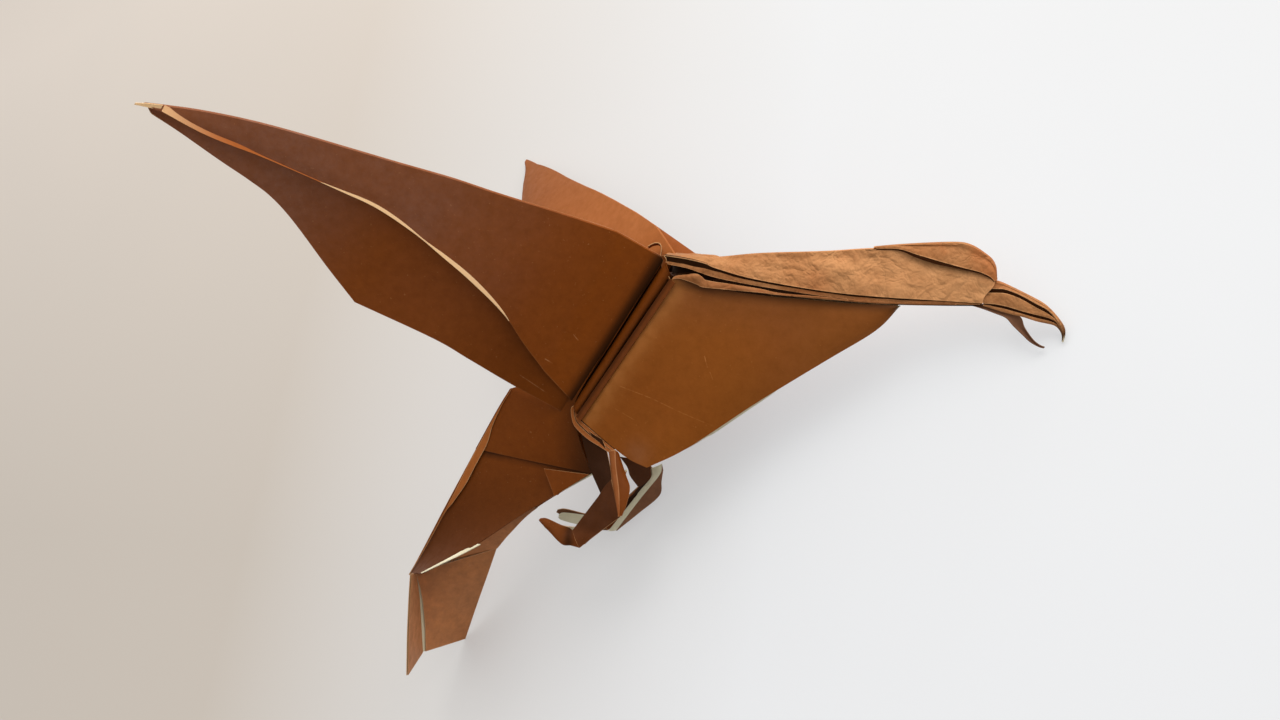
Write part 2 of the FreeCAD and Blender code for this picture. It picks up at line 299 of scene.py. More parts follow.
class EAGLE_PG_paper(bpy.types.PropertyGroup):
    """The sheet, in millimetres"""
    thickness: FloatProperty(name="Thickness", description="Of one visible layer", default=0.20)
    gap: FloatProperty(name="Gap", description="Between two layers that lie on each other", default=0.32)
    swell: FloatProperty(name="Swell", description="Height of a wide panel's slight swells", default=0.35)
    seed: IntProperty(name="Seed", description="Picks the pattern of the swells", default=4)


class EAGLE_PG_wing(bpy.types.PropertyGroup):
    """Both wings, in millimetres"""
    length: FloatProperty(name="Length", description="From the shoulder to the tip", default=117.0)
    sweep: FloatProperty(name="Sweep", description="How far the wings point back",
                         default=math.radians(46.6), subtype="ANGLE")
    rise: FloatProperty(name="Rise", description="How far the wings point up",
                        default=math.radians(14.0), subtype="ANGLE")
    pitch: FloatProperty(name="Pitch", description="How far the wings lean back",
                         default=math.radians(25.6), subtype="ANGLE")
    root_chord: FloatProperty(name="Root chord", description="Of the front layer along the body",
                              default=43.0)
    corner_chord: FloatProperty(name="Corner chord", description="From the leading fold to the rear corner",
                                default=37.0)
    bow: FloatProperty(name="Bow", description="How far the leading fold bows forward", default=5.0)
    crimp: FloatProperty(name="Crimp", description="How far the root curls outwards", default=2.4)
    camber: FloatProperty(name="Camber", description="How far the rear layer bows back", default=5.0)


class EAGLE_PG_body(bpy.types.PropertyGroup):
    """The pleats and the chest, in millimetres"""
    pleat: FloatProperty(name="Pleat", description="Height of the crimped ridge beside the wing", default=1.3)
    band: FloatProperty(name="Band", description="Width of the turned edge beside the pleat", default=1.35)
    round: FloatProperty(name="Belly", description="How far the chest's panels belly out", default=0.5)


def colour_property(name, description, red, green, blue):
    """A colour that the user can change, from its ordinary screen values of 0 to 255."""
    return FloatVectorProperty(name=name, description=description, subtype="COLOR_GAMMA", size=3,
                               min=0.0, max=1.0, default=(red / 255.0, green / 255.0, blue / 255.0))


class EAGLE_PG_colours(bpy.types.PropertyGroup):
    """The sheet's dyed and undyed sides, and the surface it lies on"""
    brown: colour_property("Brown side", "Main colour of the sheet's dyed side", 134, 65, 9)
    chest: colour_property("Chest", "The dyed side where it is handled most", 144, 76, 16)
    margin: colour_property("Margin", "Where the sheet's margin is turned back", 162, 92, 41)
    tan: colour_property("Neck", "The crinkled paper of the neck and the head", 174, 114, 67)
    umber: colour_property("Lining", "Inner layers and the lower beak", 128, 88, 66)
    cream: colour_property("Undyed side", "The sheet's other side", 226, 218, 190)
    edge: colour_property("Cut edge", "The sheet's cut edges", 206, 160, 112)
    floor: colour_property("Surface", "What the eagle lies on, where it is brightest", 236, 238, 241)


class EAGLE_PG_stage(bpy.types.PropertyGroup):
    """The camera and the lights"""
    distance: FloatProperty(name="Camera distance", description="From the middle of the bird",
                            default=0.275, unit="LENGTH")
    azimuth: FloatProperty(name="Azimuth", description="How far forward of the bird's side the camera stands",
                           default=math.radians(21.24), subtype="ANGLE")
    elevation: FloatProperty(name="Elevation", description="How far above the bird's level the camera stands",
                             default=math.radians(6.07), subtype="ANGLE")
    lens: FloatProperty(name="Lens", description="Focal length for the sensor's width", default=30.94,
                        unit="CAMERA")
    key: FloatProperty(name="Key light", description="Power of the large soft light", default=5.0,
                       unit="POWER")
    fill: FloatProperty(name="Room light", description="Strength of the light from all round", default=0.75)


class EAGLE_PG_settings(bpy.types.PropertyGroup):
    """Everything that a user would change"""
    paper: PointerProperty(type=EAGLE_PG_paper)
    wing: PointerProperty(type=EAGLE_PG_wing)
    body: PointerProperty(type=EAGLE_PG_body)
    colours: PointerProperty(type=EAGLE_PG_colours)
    stage: PointerProperty(type=EAGLE_PG_stage)


# ---------------------------------------------------------------- wings

# Both ends of the right wing's root
SHOULDER = Vector((8.5, -5.5, 25.5))
HIP = Vector((-17.0, -3.4, -11.3))

# Stations from the root to the tip: the share of the wing's length at the leading fold, and the fold's bow
WING_FOLD = ((0.0, 0.0), (0.113, 0.55), (0.231, 0.70), (0.367, 0.82), (0.462, 0.95), (0.564, 0.97),
             (0.667, 0.99), (0.762, 1.0), (0.838, 0.95), (0.912, 0.80), (0.966, 0.60), (1.0, 0.45))
# At the same stations: shares of the length and of the root chord at the front layer's free edge
WING_FREE = ((0.066, 1.02), (0.146, 0.885), (0.215, 0.73), (0.278, 0.575), (0.364, 0.425), (0.445, 0.31),
             (0.513, 0.22), (0.585, 0.147), (0.664, 0.107), (0.796, 0.046), (0.890, 0.010), (0.971, -0.048))
# At the same stations: shares of the length and of the corner chord at the rear layer's edge
WING_REAR = ((0.051, 1.31), (0.192, 1.215), (0.300, 1.112), (0.385, 1.032), (0.561, 0.90), (0.632, 0.70),
             (0.713, 0.455), (0.763, 0.325), (0.808, 0.245), (0.865, 0.16), (0.937, 0.052), (0.985, -0.015))
FRONT_KINK, REAR_CORNER = 1, 4       # the stations where the two layers' borders have a corner
# The left wing has relaxed a little: at each share of its length, how far it lies along the chord
LEFT_WING_SAG = ((0.0, 0.0), (0.11, -1.4), (0.23, -1.4), (0.37, -1.0), (0.46, -0.3), (0.56, 0.2),
                 (0.67, 0.7), (0.84, 0.9), (0.91, 0.8), (1.0, -0.8))
LEFT_NECK_END = Vector((14.1, 5.0, 25.6))     # where the left wing's leading fold runs on to meet the neck
# The borders of the undyed corner beyond the right wing's tip, along the span and along the chord
CORNER_TOP = ((113.6, -3.2), (116.3, -2.7), (118.6, -2.1))
CORNER_LOW = ((113.9, -2.0), (116.2, -1.9), (118.7, -1.7))
WING_CELLS = 22                               # from the leading fold to a layer's free border
FOLD_THICKNESS = 0.8                          # between the front and the rear layer at the leading fold
LIFT_OF_BOW = 0.8                             # how far the leading fold stands out for each share of its bow
# The strips turned out along the front layer's free edge: the rows where each starts and stops, its widths at
# even steps between them, and how much it leans
PALE_LIP = (22, 66, (0.04, 0.6, 0.8, 0.6, 0.18, 0.45, 0.55, 0.4, 0.05), 0.9)
TIP_LIP = (64, 88, (0.10, 0.12, 0.18, 0.35, 0.9, 1.15, 1.4, 1.45, 1.2), 0.5)
LIP_CELLS = 4
LIP_HEIGHT = 0.14          # above the layer it is turned from


class Wing:
    """The right wing's directions and its layers."""

    def __init__(self, settings):
        self.size = settings
        self.span = Vector((-math.sin(settings.sweep) * math.cos(settings.rise),
                            -math.cos(settings.sweep) * math.cos(settings.rise), math.sin(settings.rise)))
        down = Vector((0, 0, -1))
        hang = (down - self.span * down.dot(self.span)).normalized()
        self.chord = hang * math.cos(settings.pitch) - self.span.cross(hang) * math.sin(settings.pitch)
        self.out = self.span.cross(self.chord).normalized()

    def at(self, along, across, out):
        """A point from its distances along the span, along the chord and out of the wing's plane."""
        return SHOULDER + self.span * along + self.chord * across + self.out * (out - self.size.crimp)

    def curl(self, place):
        """How far the wing stands out near its root."""
        return self.size.crimp * (1.0 - ramp(place, -0.02, 0.12))

    def layers(self):
        """The leading fold, the front layer's free edge and the rear layer's edge."""
        fold, free, rear = [], [], []
        size = self.size
        for fold_at, free_at, rear_at in zip(WING_FOLD, WING_FREE, WING_REAR):
            (along, bow), (free_along, free_share), (rear_along, rear_share) = fold_at, free_at, rear_at
            curl = self.curl(along)
            sag = size.camber * math.sin(math.pi * min(1.0, along))
            lifted = curl + LIFT_OF_BOW * bow
            tucked = 0.35 * (1.0 - ramp(along, 0.5, 0.85))
            fold.append(self.at(size.length * along, tucked - size.bow * bow, lifted))
            free.append(self.at(size.length * free_along, size.root_chord * free_share, lifted))
            rear.append(self.at(size.length * rear_along, size.corner_chord * rear_share, curl - sag))
        return fold, free, rear

    def lip(self, layer, start, stop, widths, lean):
        """A strip that is turned out along a layer's free edge."""
        shown = smooth([Vector((width, 0, 0)) for width in widths], 12)
        strip = []
        for i in range(start, stop + 1):
            point = layer[i][-1]
            run = (layer[min(i + 1, len(layer) - 1)][-1] - layer[max(i - 1, 0)][-1]).normalized()
            away = (self.chord - run * self.chord.dot(run)).normalized()
            place = (i - start) / (stop - start) * (len(shown) - 1)
            before, after = shown[int(place)], shown[min(int(place) + 1, len(shown) - 1)]
            width = max(0.03, mix(before, after, place % 1.0).x)
            inner = point - away * width + self.out * LIP_HEIGHT
            outer = point + away * 0.04 + self.out * (LIP_HEIGHT + width * lean)
            strip.append([mix(inner, outer, k / LIP_CELLS) for k in range(LIP_CELLS + 1)])
        return strip

    def relaxed(self, point):
        """A point of the left wing, which has settled a little away from the right wing's match."""
        share = (mirror(point) - SHOULDER).dot(self.span) / self.size.length
        sag = 0.0
        for (near, first), (far, second) in zip(LEFT_WING_SAG, LEFT_WING_SAG[1:]):
            if near <= share:
                sag = mix(first, second, min(1.0, (share - near) / (far - near)))
        settled = mirror(self.out) * 0.6 - mirror(self.span) * 1.7
        return point + mirror(self.chord) * sag + settled * ramp(share, 0.84, 1.0)

    def pair(self, paper, rows, face, back, **more):
        """Adds a wall to the right wing and its match to the left."""
        paper.wall(rows, face, back, **more)
        paper.wall([[self.relaxed(point) for point in row] for row in flipped(rows)], face, back, **more)


def fold_wing(paper, settings):
    """Both wings: two layers that hang together along the leading fold, with linings that show between."""
    wing = Wing(settings.wing)
    fold, free, rear = wing.layers()
    swell, seed = settings.paper.swell, settings.paper.seed
    back_fold = [point - wing.out * FOLD_THICKNESS for point in fold]
    nose = [mix(a, b, 0.5) - wing.chord * 0.15 for a, b in zip(fold, back_fold)]
    front = leaf(fold, free, STEPS, WING_CELLS, corners=(FRONT_KINK,), bulge=0.35)
    front = buckled(front, swell * 1.6, 26.0, seed)
    hind = leaf(back_fold, rear, STEPS, WING_CELLS, corners=(REAR_CORNER,), bulge=-0.5)
    hind = buckled(hind, swell * 1.4, 30.0, seed + 3)
    middle = creased(nose, STEPS, (FRONT_KINK,))
    under = [list(reversed(row)) + [point] for row, point in zip(hind, middle)]
    over = [[point] + list(row) for row, point in zip(front, middle)]
    root = (HIP - SHOULDER).normalized()

    def greyed_by_sheen(point):
        """Painted sheen: the paper is greyer away from the body."""
        return ramp(abs(point.y), 13.0, 46.0)

    def shaded(point):
        """Painted shade in the valley along the root."""
        away = (Vector((point.x, -abs(point.y), point.z)) - SHOULDER).cross(root).length
        return 0.93 * math.exp(-(away / 2.5) ** 3)

    def rear_tone(point):
        """Painted sheen: greyer towards the tip, and a little so along the whole right wing."""
        return max(0.16 * ramp(-point.y, 12.0, 26.0), ramp(abs(point.y), 34.0, 60.0))

    def rear_shade(point):
        """Painted shade: the front layer shades the right wing's rear layer near the body, and the left one's
        at its tip.
        """
        if point.y > 0:
            return 0.17 * ramp(point.y, 30.0, 65.0)
        return max(shaded(point), 0.29 * (1.0 - ramp(abs(point.y), 8.0, 28.0)))
    wing.pair(paper, over, BROWN, BROWN, tone=greyed_by_sheen, shade=shaded, worn=0.5)
    wing.pair(paper, under, DORSAL, BROWN, tone=rear_tone, shade=rear_shade, worn=0.5)

    # The left wing's leading fold runs on to the neck
    left_fold = [wing.relaxed(mirror(middle[i])) for i in (0, 5, 10)]
    gusset = leaf([mix(LEFT_NECK_END, left_fold[-1], k / 2) for k in range(3)], left_fold, 6, 6, bulge=0.15)
    paper.wall(gusset, BROWN, BROWN, tone=0.1, worn=0.5)

    # The lips have the lining's pale colour, brightened as a painted highlight
    wing.pair(paper, wing.lip(front, *PALE_LIP), GLOW, GLOW, rim=GLOW, tone=1.0, worn=0.0)
    wing.pair(paper, wing.lip(front, *TIP_LIP), GLOW, GLOW, rim=GLOW, worn=0.0,
              tone=lambda p: 0.85 * ramp(abs(p.y), 70.0, 84.0))

    # The sheet's undyed corner, which shows beyond the right wing's tip, in the lining's pale colour
    # brightened as a painted highlight
    corner_top = [wing.at(along, across, 0.6) for along, across in CORNER_TOP]
    corner_low = [wing.at(along, across, 0.6) for along, across in CORNER_LOW]
    paper.wall(leaf(corner_top, corner_low, 6, 3), GLOW, GLOW, rim=GLOW, tone=1.0)


# ---------------------------------------------------------------- body

# The upper and the lower edge of the chest's right panel, from the hip to the throat
CHEST_TOP = ((10.5, -5.7, 20.4), (13.5, -5.3, 20.6), (18.3, -4.8, 19.6), (26.4, -4.1, 17.5),
             (35.8, -3.2, 16.5), (45.7, -2.4, 15.9), (52.0, -1.9, 15.4), (58.0, -1.6, 15.2),
             (62.8, -1.4, 15.0))
CHEST_LOW = ((-15.2, -4.0, -14.7), (-8.1, -4.4, -19.9), (-1.4, -4.7, -24.2), (3.8, -5.0, -26.1),
             (13.9, -3.9, -20.7), (30.6, -1.6, -8.9), (46.8, -1.2, 1.7), (58.0, -1.1, 9.0),
             (63.4, -1.1, 14.9))
BELLY_CORNER = 3                          # the station of the lower edge where it has a corner
BELLY_SHEEN = Vector((1.5, -4.9, -23.0))    # the painted sheen beside that corner
BAND_CELLS = 6
# The ends of the pleat's layers that show along the chest's rear edge, and the chest's edge beside them
HIP_RIM = ((-16.0, -3.8, -11.6), (-17.1, -4.1, -12.7), (-16.6, -4.3, -16.0), (-15.2, -4.5, -17.8),
           (-12.5, -4.8, -19.8), (-9.1, -5.1, -21.5), (-6.2, -5.5, -22.8))
HIP_EDGE = ((-15.0, -3.8, -12.4), (-15.4, -3.9, -13.4), (-14.8, -4.1, -15.0), (-12.9, -4.3, -16.4),
            (-10.6, -4.4, -18.0), (-7.9, -4.5, -20.1), (-4.9, -4.7, -22.2))
# The pleat's wavy rim at the shoulder, and the loop that its layers make above the left wing
SHOULDER_RIM = ((8.5, -5.9, 26.1), (9.1, -5.9, 25.0), (8.7, -5.9, 23.6), (9.3, -5.9, 22.0),
                (10.0, -5.9, 20.5))
PLEAT_LOOP = ((0.0, 5.5, 28.3), (1.3, 5.8, 29.0), (2.7, 6.0, 29.1), (3.5, 5.8, 28.1), (3.4, 5.5, 26.0))
PLEAT_CELLS = 4            # cells between two of the pleat's stations, counted away from the wing
VALLEYS = (1, 6)           # the stations of its two valleys


def fold_pleat(paper, settings):
    """The crimp beside each wing's root: a ridge that stands between two deep valleys."""
    # From the wing's root across the pleat to the chest, at the shoulder and at the hip
    step_top = Vector((1.9, -0.1, -4.7))
    step_low = Vector((1.75, -0.5, -3.2))
    high = settings.body.pleat
    out = Vector((0.25, -1.0, -0.1))
    rows = []
    for share in (0.0, 0.12, 0.3, 0.5, 0.7, 0.88, 1.0):
        step = mix(step_top, step_low, ramp(share, 0.0, 0.5) * 0.85 + 0.15 * share)
        swell = math.sin(math.pi * share)
        root = mix(SHOULDER, HIP, share) + Vector((0.9, -0.6, 0.6)) * swell
        # From the wing's root over the first valley, the ridge and the second valley to the chest
        rows.append([root - step * 0.10 - out * 0.1, root + step * 0.05 - out * (1.5 + 0.7 * swell),
                     root + step * 0.22 + out * high * 0.35, root + step * 0.46 + out * high * 0.85,
                     root + step * 0.66 + out * high * 0.70, root + step * 0.82,
                     root + step * 0.98 - out * (1.6 + 0.7 * swell), root + step * 1.14 - out * 0.9])
    grid = refined(rows, STEPS, PLEAT_CELLS, VALLEYS)
    first, second = (station * PLEAT_CELLS for station in VALLEYS)
    # Painted shade darkens the pleat, most in its two valleys
    depth = {}
    for row in grid:
        for j, point in enumerate(row):
            away = min(abs(j - first) / 3.6, max(0, second - j) / 6.0)
            depth[tuple(point)] = depth[tuple(mirror(point))] = 0.28 + 0.66 * math.exp(-away ** 2)
    paper.both(grid, BROWN, BROWN, rim=BROWN, shade=lambda p: depth.get(tuple(p), 0.6), worn=0.0)

    # The ends of the pleat's layers, a little darkened by painted shade: a wavy rim at the shoulder, two
    # edges at the hip, and a loop on the left
    rim = path(*SHOULDER_RIM)
    paper.both(leaf(rim, [point + Vector((-0.9, 0.25, -0.1)) for point in rim], STEPS, 3), BROWN, BROWN,
               tone=0.2, shade=0.3)
    outer, inner = path(*HIP_RIM), path(*HIP_EDGE)
    for start, stop, lift in ((0.0, 0.42, -0.15), (0.52, 0.88, 0.05)):
        near = [mix(a, b, start) + Vector((0, lift, 0)) for a, b in zip(outer, inner)]
        far = [mix(a, b, stop) + Vector((0, lift + 0.15, 0)) for a, b in zip(outer, inner)]
        paper.both(leaf(near, far, STEPS, 4, bulge=-0.08), DORSAL, BROWN, tone=0.3, shade=0.10)
    # Between the two edges at the hip, a sheet painted dark as the shade there
    beyond, within = ([mix(a, b, share) for a, b in zip(outer, inner)] for share in (1.15, 0.1))
    shadow_slit(paper, beyond, within, 0.45)
    loop = path(*PLEAT_LOOP)
    paper.wall(leaf(loop, [point + Vector((-0.4, 1.4, -0.6)) for point in loop], STEPS, 4), BROWN, BROWN,
               tone=0.1, shade=0.2)


def fold_chest(paper, settings):
    """The chest's two side panels, with a turned edge beside the pleat, and their cream insides."""
    top, low = path(*CHEST_TOP), path(*CHEST_LOW)
    rows = leaf(low, top, 7, 30, corners=(BELLY_CORNER,), bulge=settings.body.round)
    rows = buckled(rows, settings.paper.swell * 1.5, 22.0, settings.paper.seed + 9)
    edge = (low[0] - top[0]).normalized()
    band = settings.body.band

    def beside(point):
        """How far a point is from the edge beside the pleat."""
        return (Vector((point.x, -abs(point.y), point.z)) - top[0]).cross(edge).length

    def toned(point):
        """Greyer towards the front, and with a painted sheen greyer at the top of the rear half and at the
        belly's corner.
        """
        corner = (Vector((point.x, -abs(point.y), point.z)) - BELLY_SHEEN).length
        upper = 0.45 * ramp(point.z, 4.0, 20.0) * (1.0 - ramp(point.x, 20.0, 50.0))
        return 0.10 + upper + 0.35 * ramp(point.x, 20.0, 50.0) + 0.75 * math.exp(-(corner / 3.5) ** 2)

    def shaded(point):
        """Painted shadow under the neck's lip."""
        below = max(0.0, height_at(LIP_LOW, point.x) - 0.4 - point.z)
        close, wide = math.exp(-(below / 1.6) ** 2), math.exp(-(below / 7.0) ** 2)
        return (0.62 * close + 0.13 * wide) * ramp(point.x, 8.0, 14.0)

    def rubbed(point):
        """Painted highlight, brightest along the fold beside the pleat."""
        return 0.70 * math.exp(-(max(0.0, beside(point) - band) / 5.0) ** 2)
    paper.both(rows, PANEL, CREAM, rim=PANEL, tone=toned, shade=shaded, rubbed=rubbed, worn=0.25)

    # The turned edge beside the pleat: a narrow band a little below the panel, with painted shade that
    # darkens it towards the pleat
    inward = edge.cross(Vector((0, 1, 0))).normalized()
    inward = -inward if inward.x < 0 else inward
    steps = [inward * (-0.35 + (band + 0.35) * k / BAND_CELLS) + Vector((0, -0.75 - 0.05 * k, 0))
             for k in range(BAND_CELLS + 1)]
    border = smooth([low[0], mix(low[0], top[0], 0.5), top[0]], 20)
    strip = [[point + step for step in steps] for point in border]

    def banded(point):
        """Painted shade along the pleat, and a little where the panel's fold overhangs."""
        away = beside(point)
        return 0.22 + 0.7 * math.exp(-(away / 0.95) ** 4) + 0.1 * ramp(away, band - 0.3, band)
    paper.both(strip, BROWN, BROWN, rim=BROWN, tone=0.2, shade=banded, worn=0.3)

    # The cream inside, which peeks out below the middle of the lower edge
    liner = []
    for i, row in enumerate(rows):
        border, inner = row[0], row[4]
        place = i / (len(rows) - 1)
        peek = 1.1 * ramp(place, 0.50, 0.55) * (1.0 - ramp(place, 0.62, 0.68)) - 0.3
        away = (border - row[1]).normalized()
        lift = Vector((0, settings.paper.gap, 0))
        liner.append([mix(inner, border + away * peek, 1 - k / 4) + lift for k in range(5)])
    paper.both(liner, CREAM, CREAM, rim=CREAM)


# The back's ridge and its right edge, from the shoulders to the face
BACK_RIDGE = ((8.9, 26.0), (14.5, 25.8), (18.5, 25.5), (22.0, 25.7), (31.0, 26.5), (46.0, 27.0),
              (57.5, 27.7), (69.5, 27.6), (80.5, 25.2))
BACK_EDGE = ((8.4, -5.4, 26.1), (13.6, -4.8, 25.3), (18.2, -4.2, 24.2), (21.2, -3.9, 23.0),
             (30.3, -3.2, 20.6), (46.7, -2.3, 18.0), (59.3, -1.9, 16.9), (71.8, -1.5, 16.3),
             (81.7, -1.2, 15.8))
# The first ply under it: where it shows from, and its edge
PLY_TOP = ((9.0, -5.0, 24.3), (13.3, -4.4, 23.7), (17.0, -3.9, 23.0), (21.2, -3.6, 22.1), (30.5, -2.9, 19.9),
           (46.7, -1.9, 17.5), (59.3, -1.5, 16.3), (71.8, -1.2, 16.0), (81.0, -0.9, 15.6))
PLY_EDGE = ((9.0, -5.0, 24.0), (13.3, -4.4, 23.2), (16.8, -3.9, 22.1), (21.1, -3.5, 20.8), (30.5, -2.8, 19.1),
            (46.7, -1.9, 16.8), (59.3, -1.5, 15.7), (71.8, -1.2, 15.5), (81.0, -0.9, 15.5))
# The lip that holds the chest, with a small curl near the shoulder
LIP_TOP = ((11.8, -4.9, 21.3), (14.2, -5.1, 21.5), (15.9, -5.1, 21.6), (17.5, -4.8, 21.0),
           (18.8, -4.4, 20.2), (24.1, -3.9, 19.4), (31.6, -3.2, 18.3), (36.1, -2.9, 17.4),
           (46.7, -2.2, 16.4), (60.0, -1.5, 15.7), (76.0, -0.9, 15.6))
LIP_LOW = ((10.3, -5.6, 20.4), (12.2, -5.7, 20.6), (15.0, -5.6, 19.9), (16.8, -5.4, 19.2),
           (18.2, -5.2, 18.6), (24.1, -4.6, 18.1), (31.6, -3.8, 17.5), (36.1, -3.4, 17.0),
           (46.7, -2.6, 16.2), (60.0, -1.7, 15.4), (76.0, -1.0, 15.4))
LIP_CURL = Vector((16.6, -5.2, 20.9))     # the middle of that curl
# Where the dark mouth between the ply and the lip ends
LIP_MOUTH = ((18.8, -3.4, 20.2), (28.5, -2.8, 18.8), (46.7, -1.9, 16.2), (59.3, -1.5, 15.4),
             (71.8, -1.2, 15.3), (80.0, -0.9, 15.4))


def tented(ridge, edge, along, across, round_by=0.35, bulge=0.0):
    """A layer folded over the middle plane, from one side's lower edge over its ridge to the other's."""
    rows = leaf(ridge, edge, along, across, bulge=-bulge)
    full = []
    for row in rows:
        crown = Vector((0, -round_by, 0))
        side = [point + crown * (1.0 - ramp(k, 0, 3)) for k, point in enumerate(row)]
        top = row[0] + Vector((0, 0, round_by * 0.5))
        full.append(list(reversed(side)) + [top] + [mirror(point) for point in side])
    return full


def fold_neck(paper, settings):
    """The layers of the back and neck, which close into one sharp fold towards the face."""
    ridge, edge = midline(BACK_RIDGE), path(*BACK_EDGE)
    seed = settings.paper.seed

    def browed(point):
        """A point of the front edge, which slants forward under the cap."""
        slant = ramp(point.z, 16.2, 20.6) * (1.0 - ramp(point.z, 22.2, 25.0))
        return point + Vector((2.9 * slant * ramp(point.x, 74.0, 81.0), 0, 0))
    rows = [[browed(point) for point in row] for row in tented(ridge, edge, 9, 18, bulge=0.55)]
    rows = buckled(rows, 0.7, 7.0, seed + 5, ridged=True)
    rows = buckled(rows, 0.45, 2.4, seed + 6, ridged=True)
    # Painted shade darkens the neck near the shoulders; it is lighter towards the face
    paper.wall(rows, TAN, BROWN, shade=lambda p: 0.25 * (1.0 - ramp(p.x, 8.0, 20.0)),
               rubbed=lambda p: 0.75 * ramp(p.x, 20.0, 78.0))

    # Sheets inside, painted dark as the shade there: one closes the body between the back and the neck, and
    # two fill the neck
    rear = path((3.0, -4.7, 20.5), (3.6, 0.0, 21.5), (3.0, 4.7, 20.5))
    front = path((15.0, -3.9, 21.5), (15.0, 0.0, 22.5), (15.0, 3.9, 21.5))
    paper.wall(leaf(rear, front, 6, 6), BROWN, BROWN, rim=BROWN, shade=0.8, worn=0.0)
    core_top = path((8.9, -0.6, 24.2), (20.0, -0.5, 24.2), (35.0, -0.4, 25.0), (56.0, -0.3, 26.2),
                    (79.0, -0.3, 24.0))
    core_low = path((9.8, -4.2, 19.5), (20.0, -3.0, 18.0), (35.0, -1.9, 16.6), (56.0, -1.1, 15.8),
                    (79.0, -0.6, 15.9))
    paper.both(leaf(core_low, core_top, 6, 6), BROWN, BROWN, rim=BROWN, shade=0.93, worn=0.0)

    top, low = path(*PLY_TOP), path(*PLY_EDGE)
    # A sheet painted dark as the shade under the back's edge
    shadow_slit(paper, edge, top, 0.17)
    rise = [point + Vector((0, 0.35, 0.9)) for point in top]
    side = leaf(low, rise, STEPS, 6, bulge=0.12)
    paper.both(buckled(side, 0.12, 3.0, seed + 8), TAN, BROWN, tone=0.25)

    lip = leaf(path(*LIP_LOW), path(*LIP_TOP), STEPS, 6, bulge=0.22)
    lip = moved(lip, lambda p: 0.7 * math.exp(-((p - LIP_CURL).length / 1.1) ** 2))
    lip = buckled(lip, 0.25, 2.6, seed + 10)
    paper.both(lip, TAN, BROWN, tone=0.7, shade=0.08)
    # A sheet painted dark as the shade in the mouth between the ply and the lip
    mouth = [point + Vector((0, 0.3, 0)) for point in low[3:]]
    shadow_slit(paper, mouth, [point + Vector((0, 0.3, -0.2)) for point in path(*LIP_MOUTH)], 0.1)


# The cap's ridge and its right edge, the beak's layers from its ridge down, and the lower beak's two edges
CAP_RIDGE = ((57.4, 27.9), (63.0, 28.4), (70.0, 28.8), (76.2, 28.9), (79.0, 28.2), (81.4, 26.7),
             (83.2, 25.2), (84.1, 23.4), (84.2, 21.2))
CAP_EDGE = ((58.0, -0.6, 27.8), (63.1, -1.1, 27.7), (67.2, -1.6, 26.5), (71.6, -1.9, 25.2),
            (74.4, -2.0, 24.4), (77.8, -2.0, 23.5), (80.9, -1.9, 22.7), (83.0, -1.6, 21.7),
            (83.9, -1.3, 20.7))
BEAK_TOP = ((81.0, 21.4), (84.3, 20.6), (86.2, 19.9), (89.9, 18.1), (93.7, 16.1), (95.6, 14.6), (97.3, 12.7),
            (98.5, 10.9), (98.8, 9.4), (98.4, 7.7))
BEAK_FIRST = ((81.6, -1.0, 19.0), (84.4, -1.0, 19.05), (86.4, -1.0, 18.9), (89.3, -1.0, 17.8),
              (92.6, -0.95, 16.0), (95.0, -0.9, 14.7), (96.7, -0.85, 13.0), (97.9, -0.75, 11.1),
              (98.45, -0.5, 9.5), (98.35, -0.25, 7.75))
BEAK_SECOND = ((81.7, -0.75, 15.8), (84.4, -0.75, 15.65), (87.1, -0.75, 15.1), (90.1, -0.75, 14.2),
               (92.8, -0.7, 13.55), (95.2, -0.65, 12.95), (96.8, -0.6, 12.2), (97.7, -0.55, 10.9),
               (98.3, -0.4, 9.3), (98.3, -0.2, 7.8))
BEAK_LAST = ((81.7, -0.45, 15.3), (84.6, -0.45, 14.4), (87.5, -0.45, 13.6), (90.1, -0.45, 13.0),
             (93.0, -0.45, 12.1), (95.0, -0.4, 11.7), (96.6, -0.35, 11.3), (97.6, -0.3, 10.5),
             (98.2, -0.25, 9.3), (98.25, -0.15, 7.85))
LOWER_OUTER = ((78.5, 15.5), (81.0, 14.8), (84.1, 13.7), (86.5, 12.7), (88.1, 11.0), (90.2, 9.0),
               (91.7, 7.6), (93.5, 6.6), (94.6, 6.3))
LOWER_INNER = ((79.9, 15.7), (83.1, 15.3), (87.1, 14.0), (89.6, 12.9), (90.4, 10.9), (91.4, 9.3),
               (92.6, 7.8), (93.8, 6.9), (94.8, 6.5))
# How far the painted shadow under the cap reaches at each of its edge's points
CAP_FALLS = (0.25, 0.3, 0.75, 0.85, 0.6, 0.4, 0.35, 0.35, 0.2)
BEAK_CELLS = 6


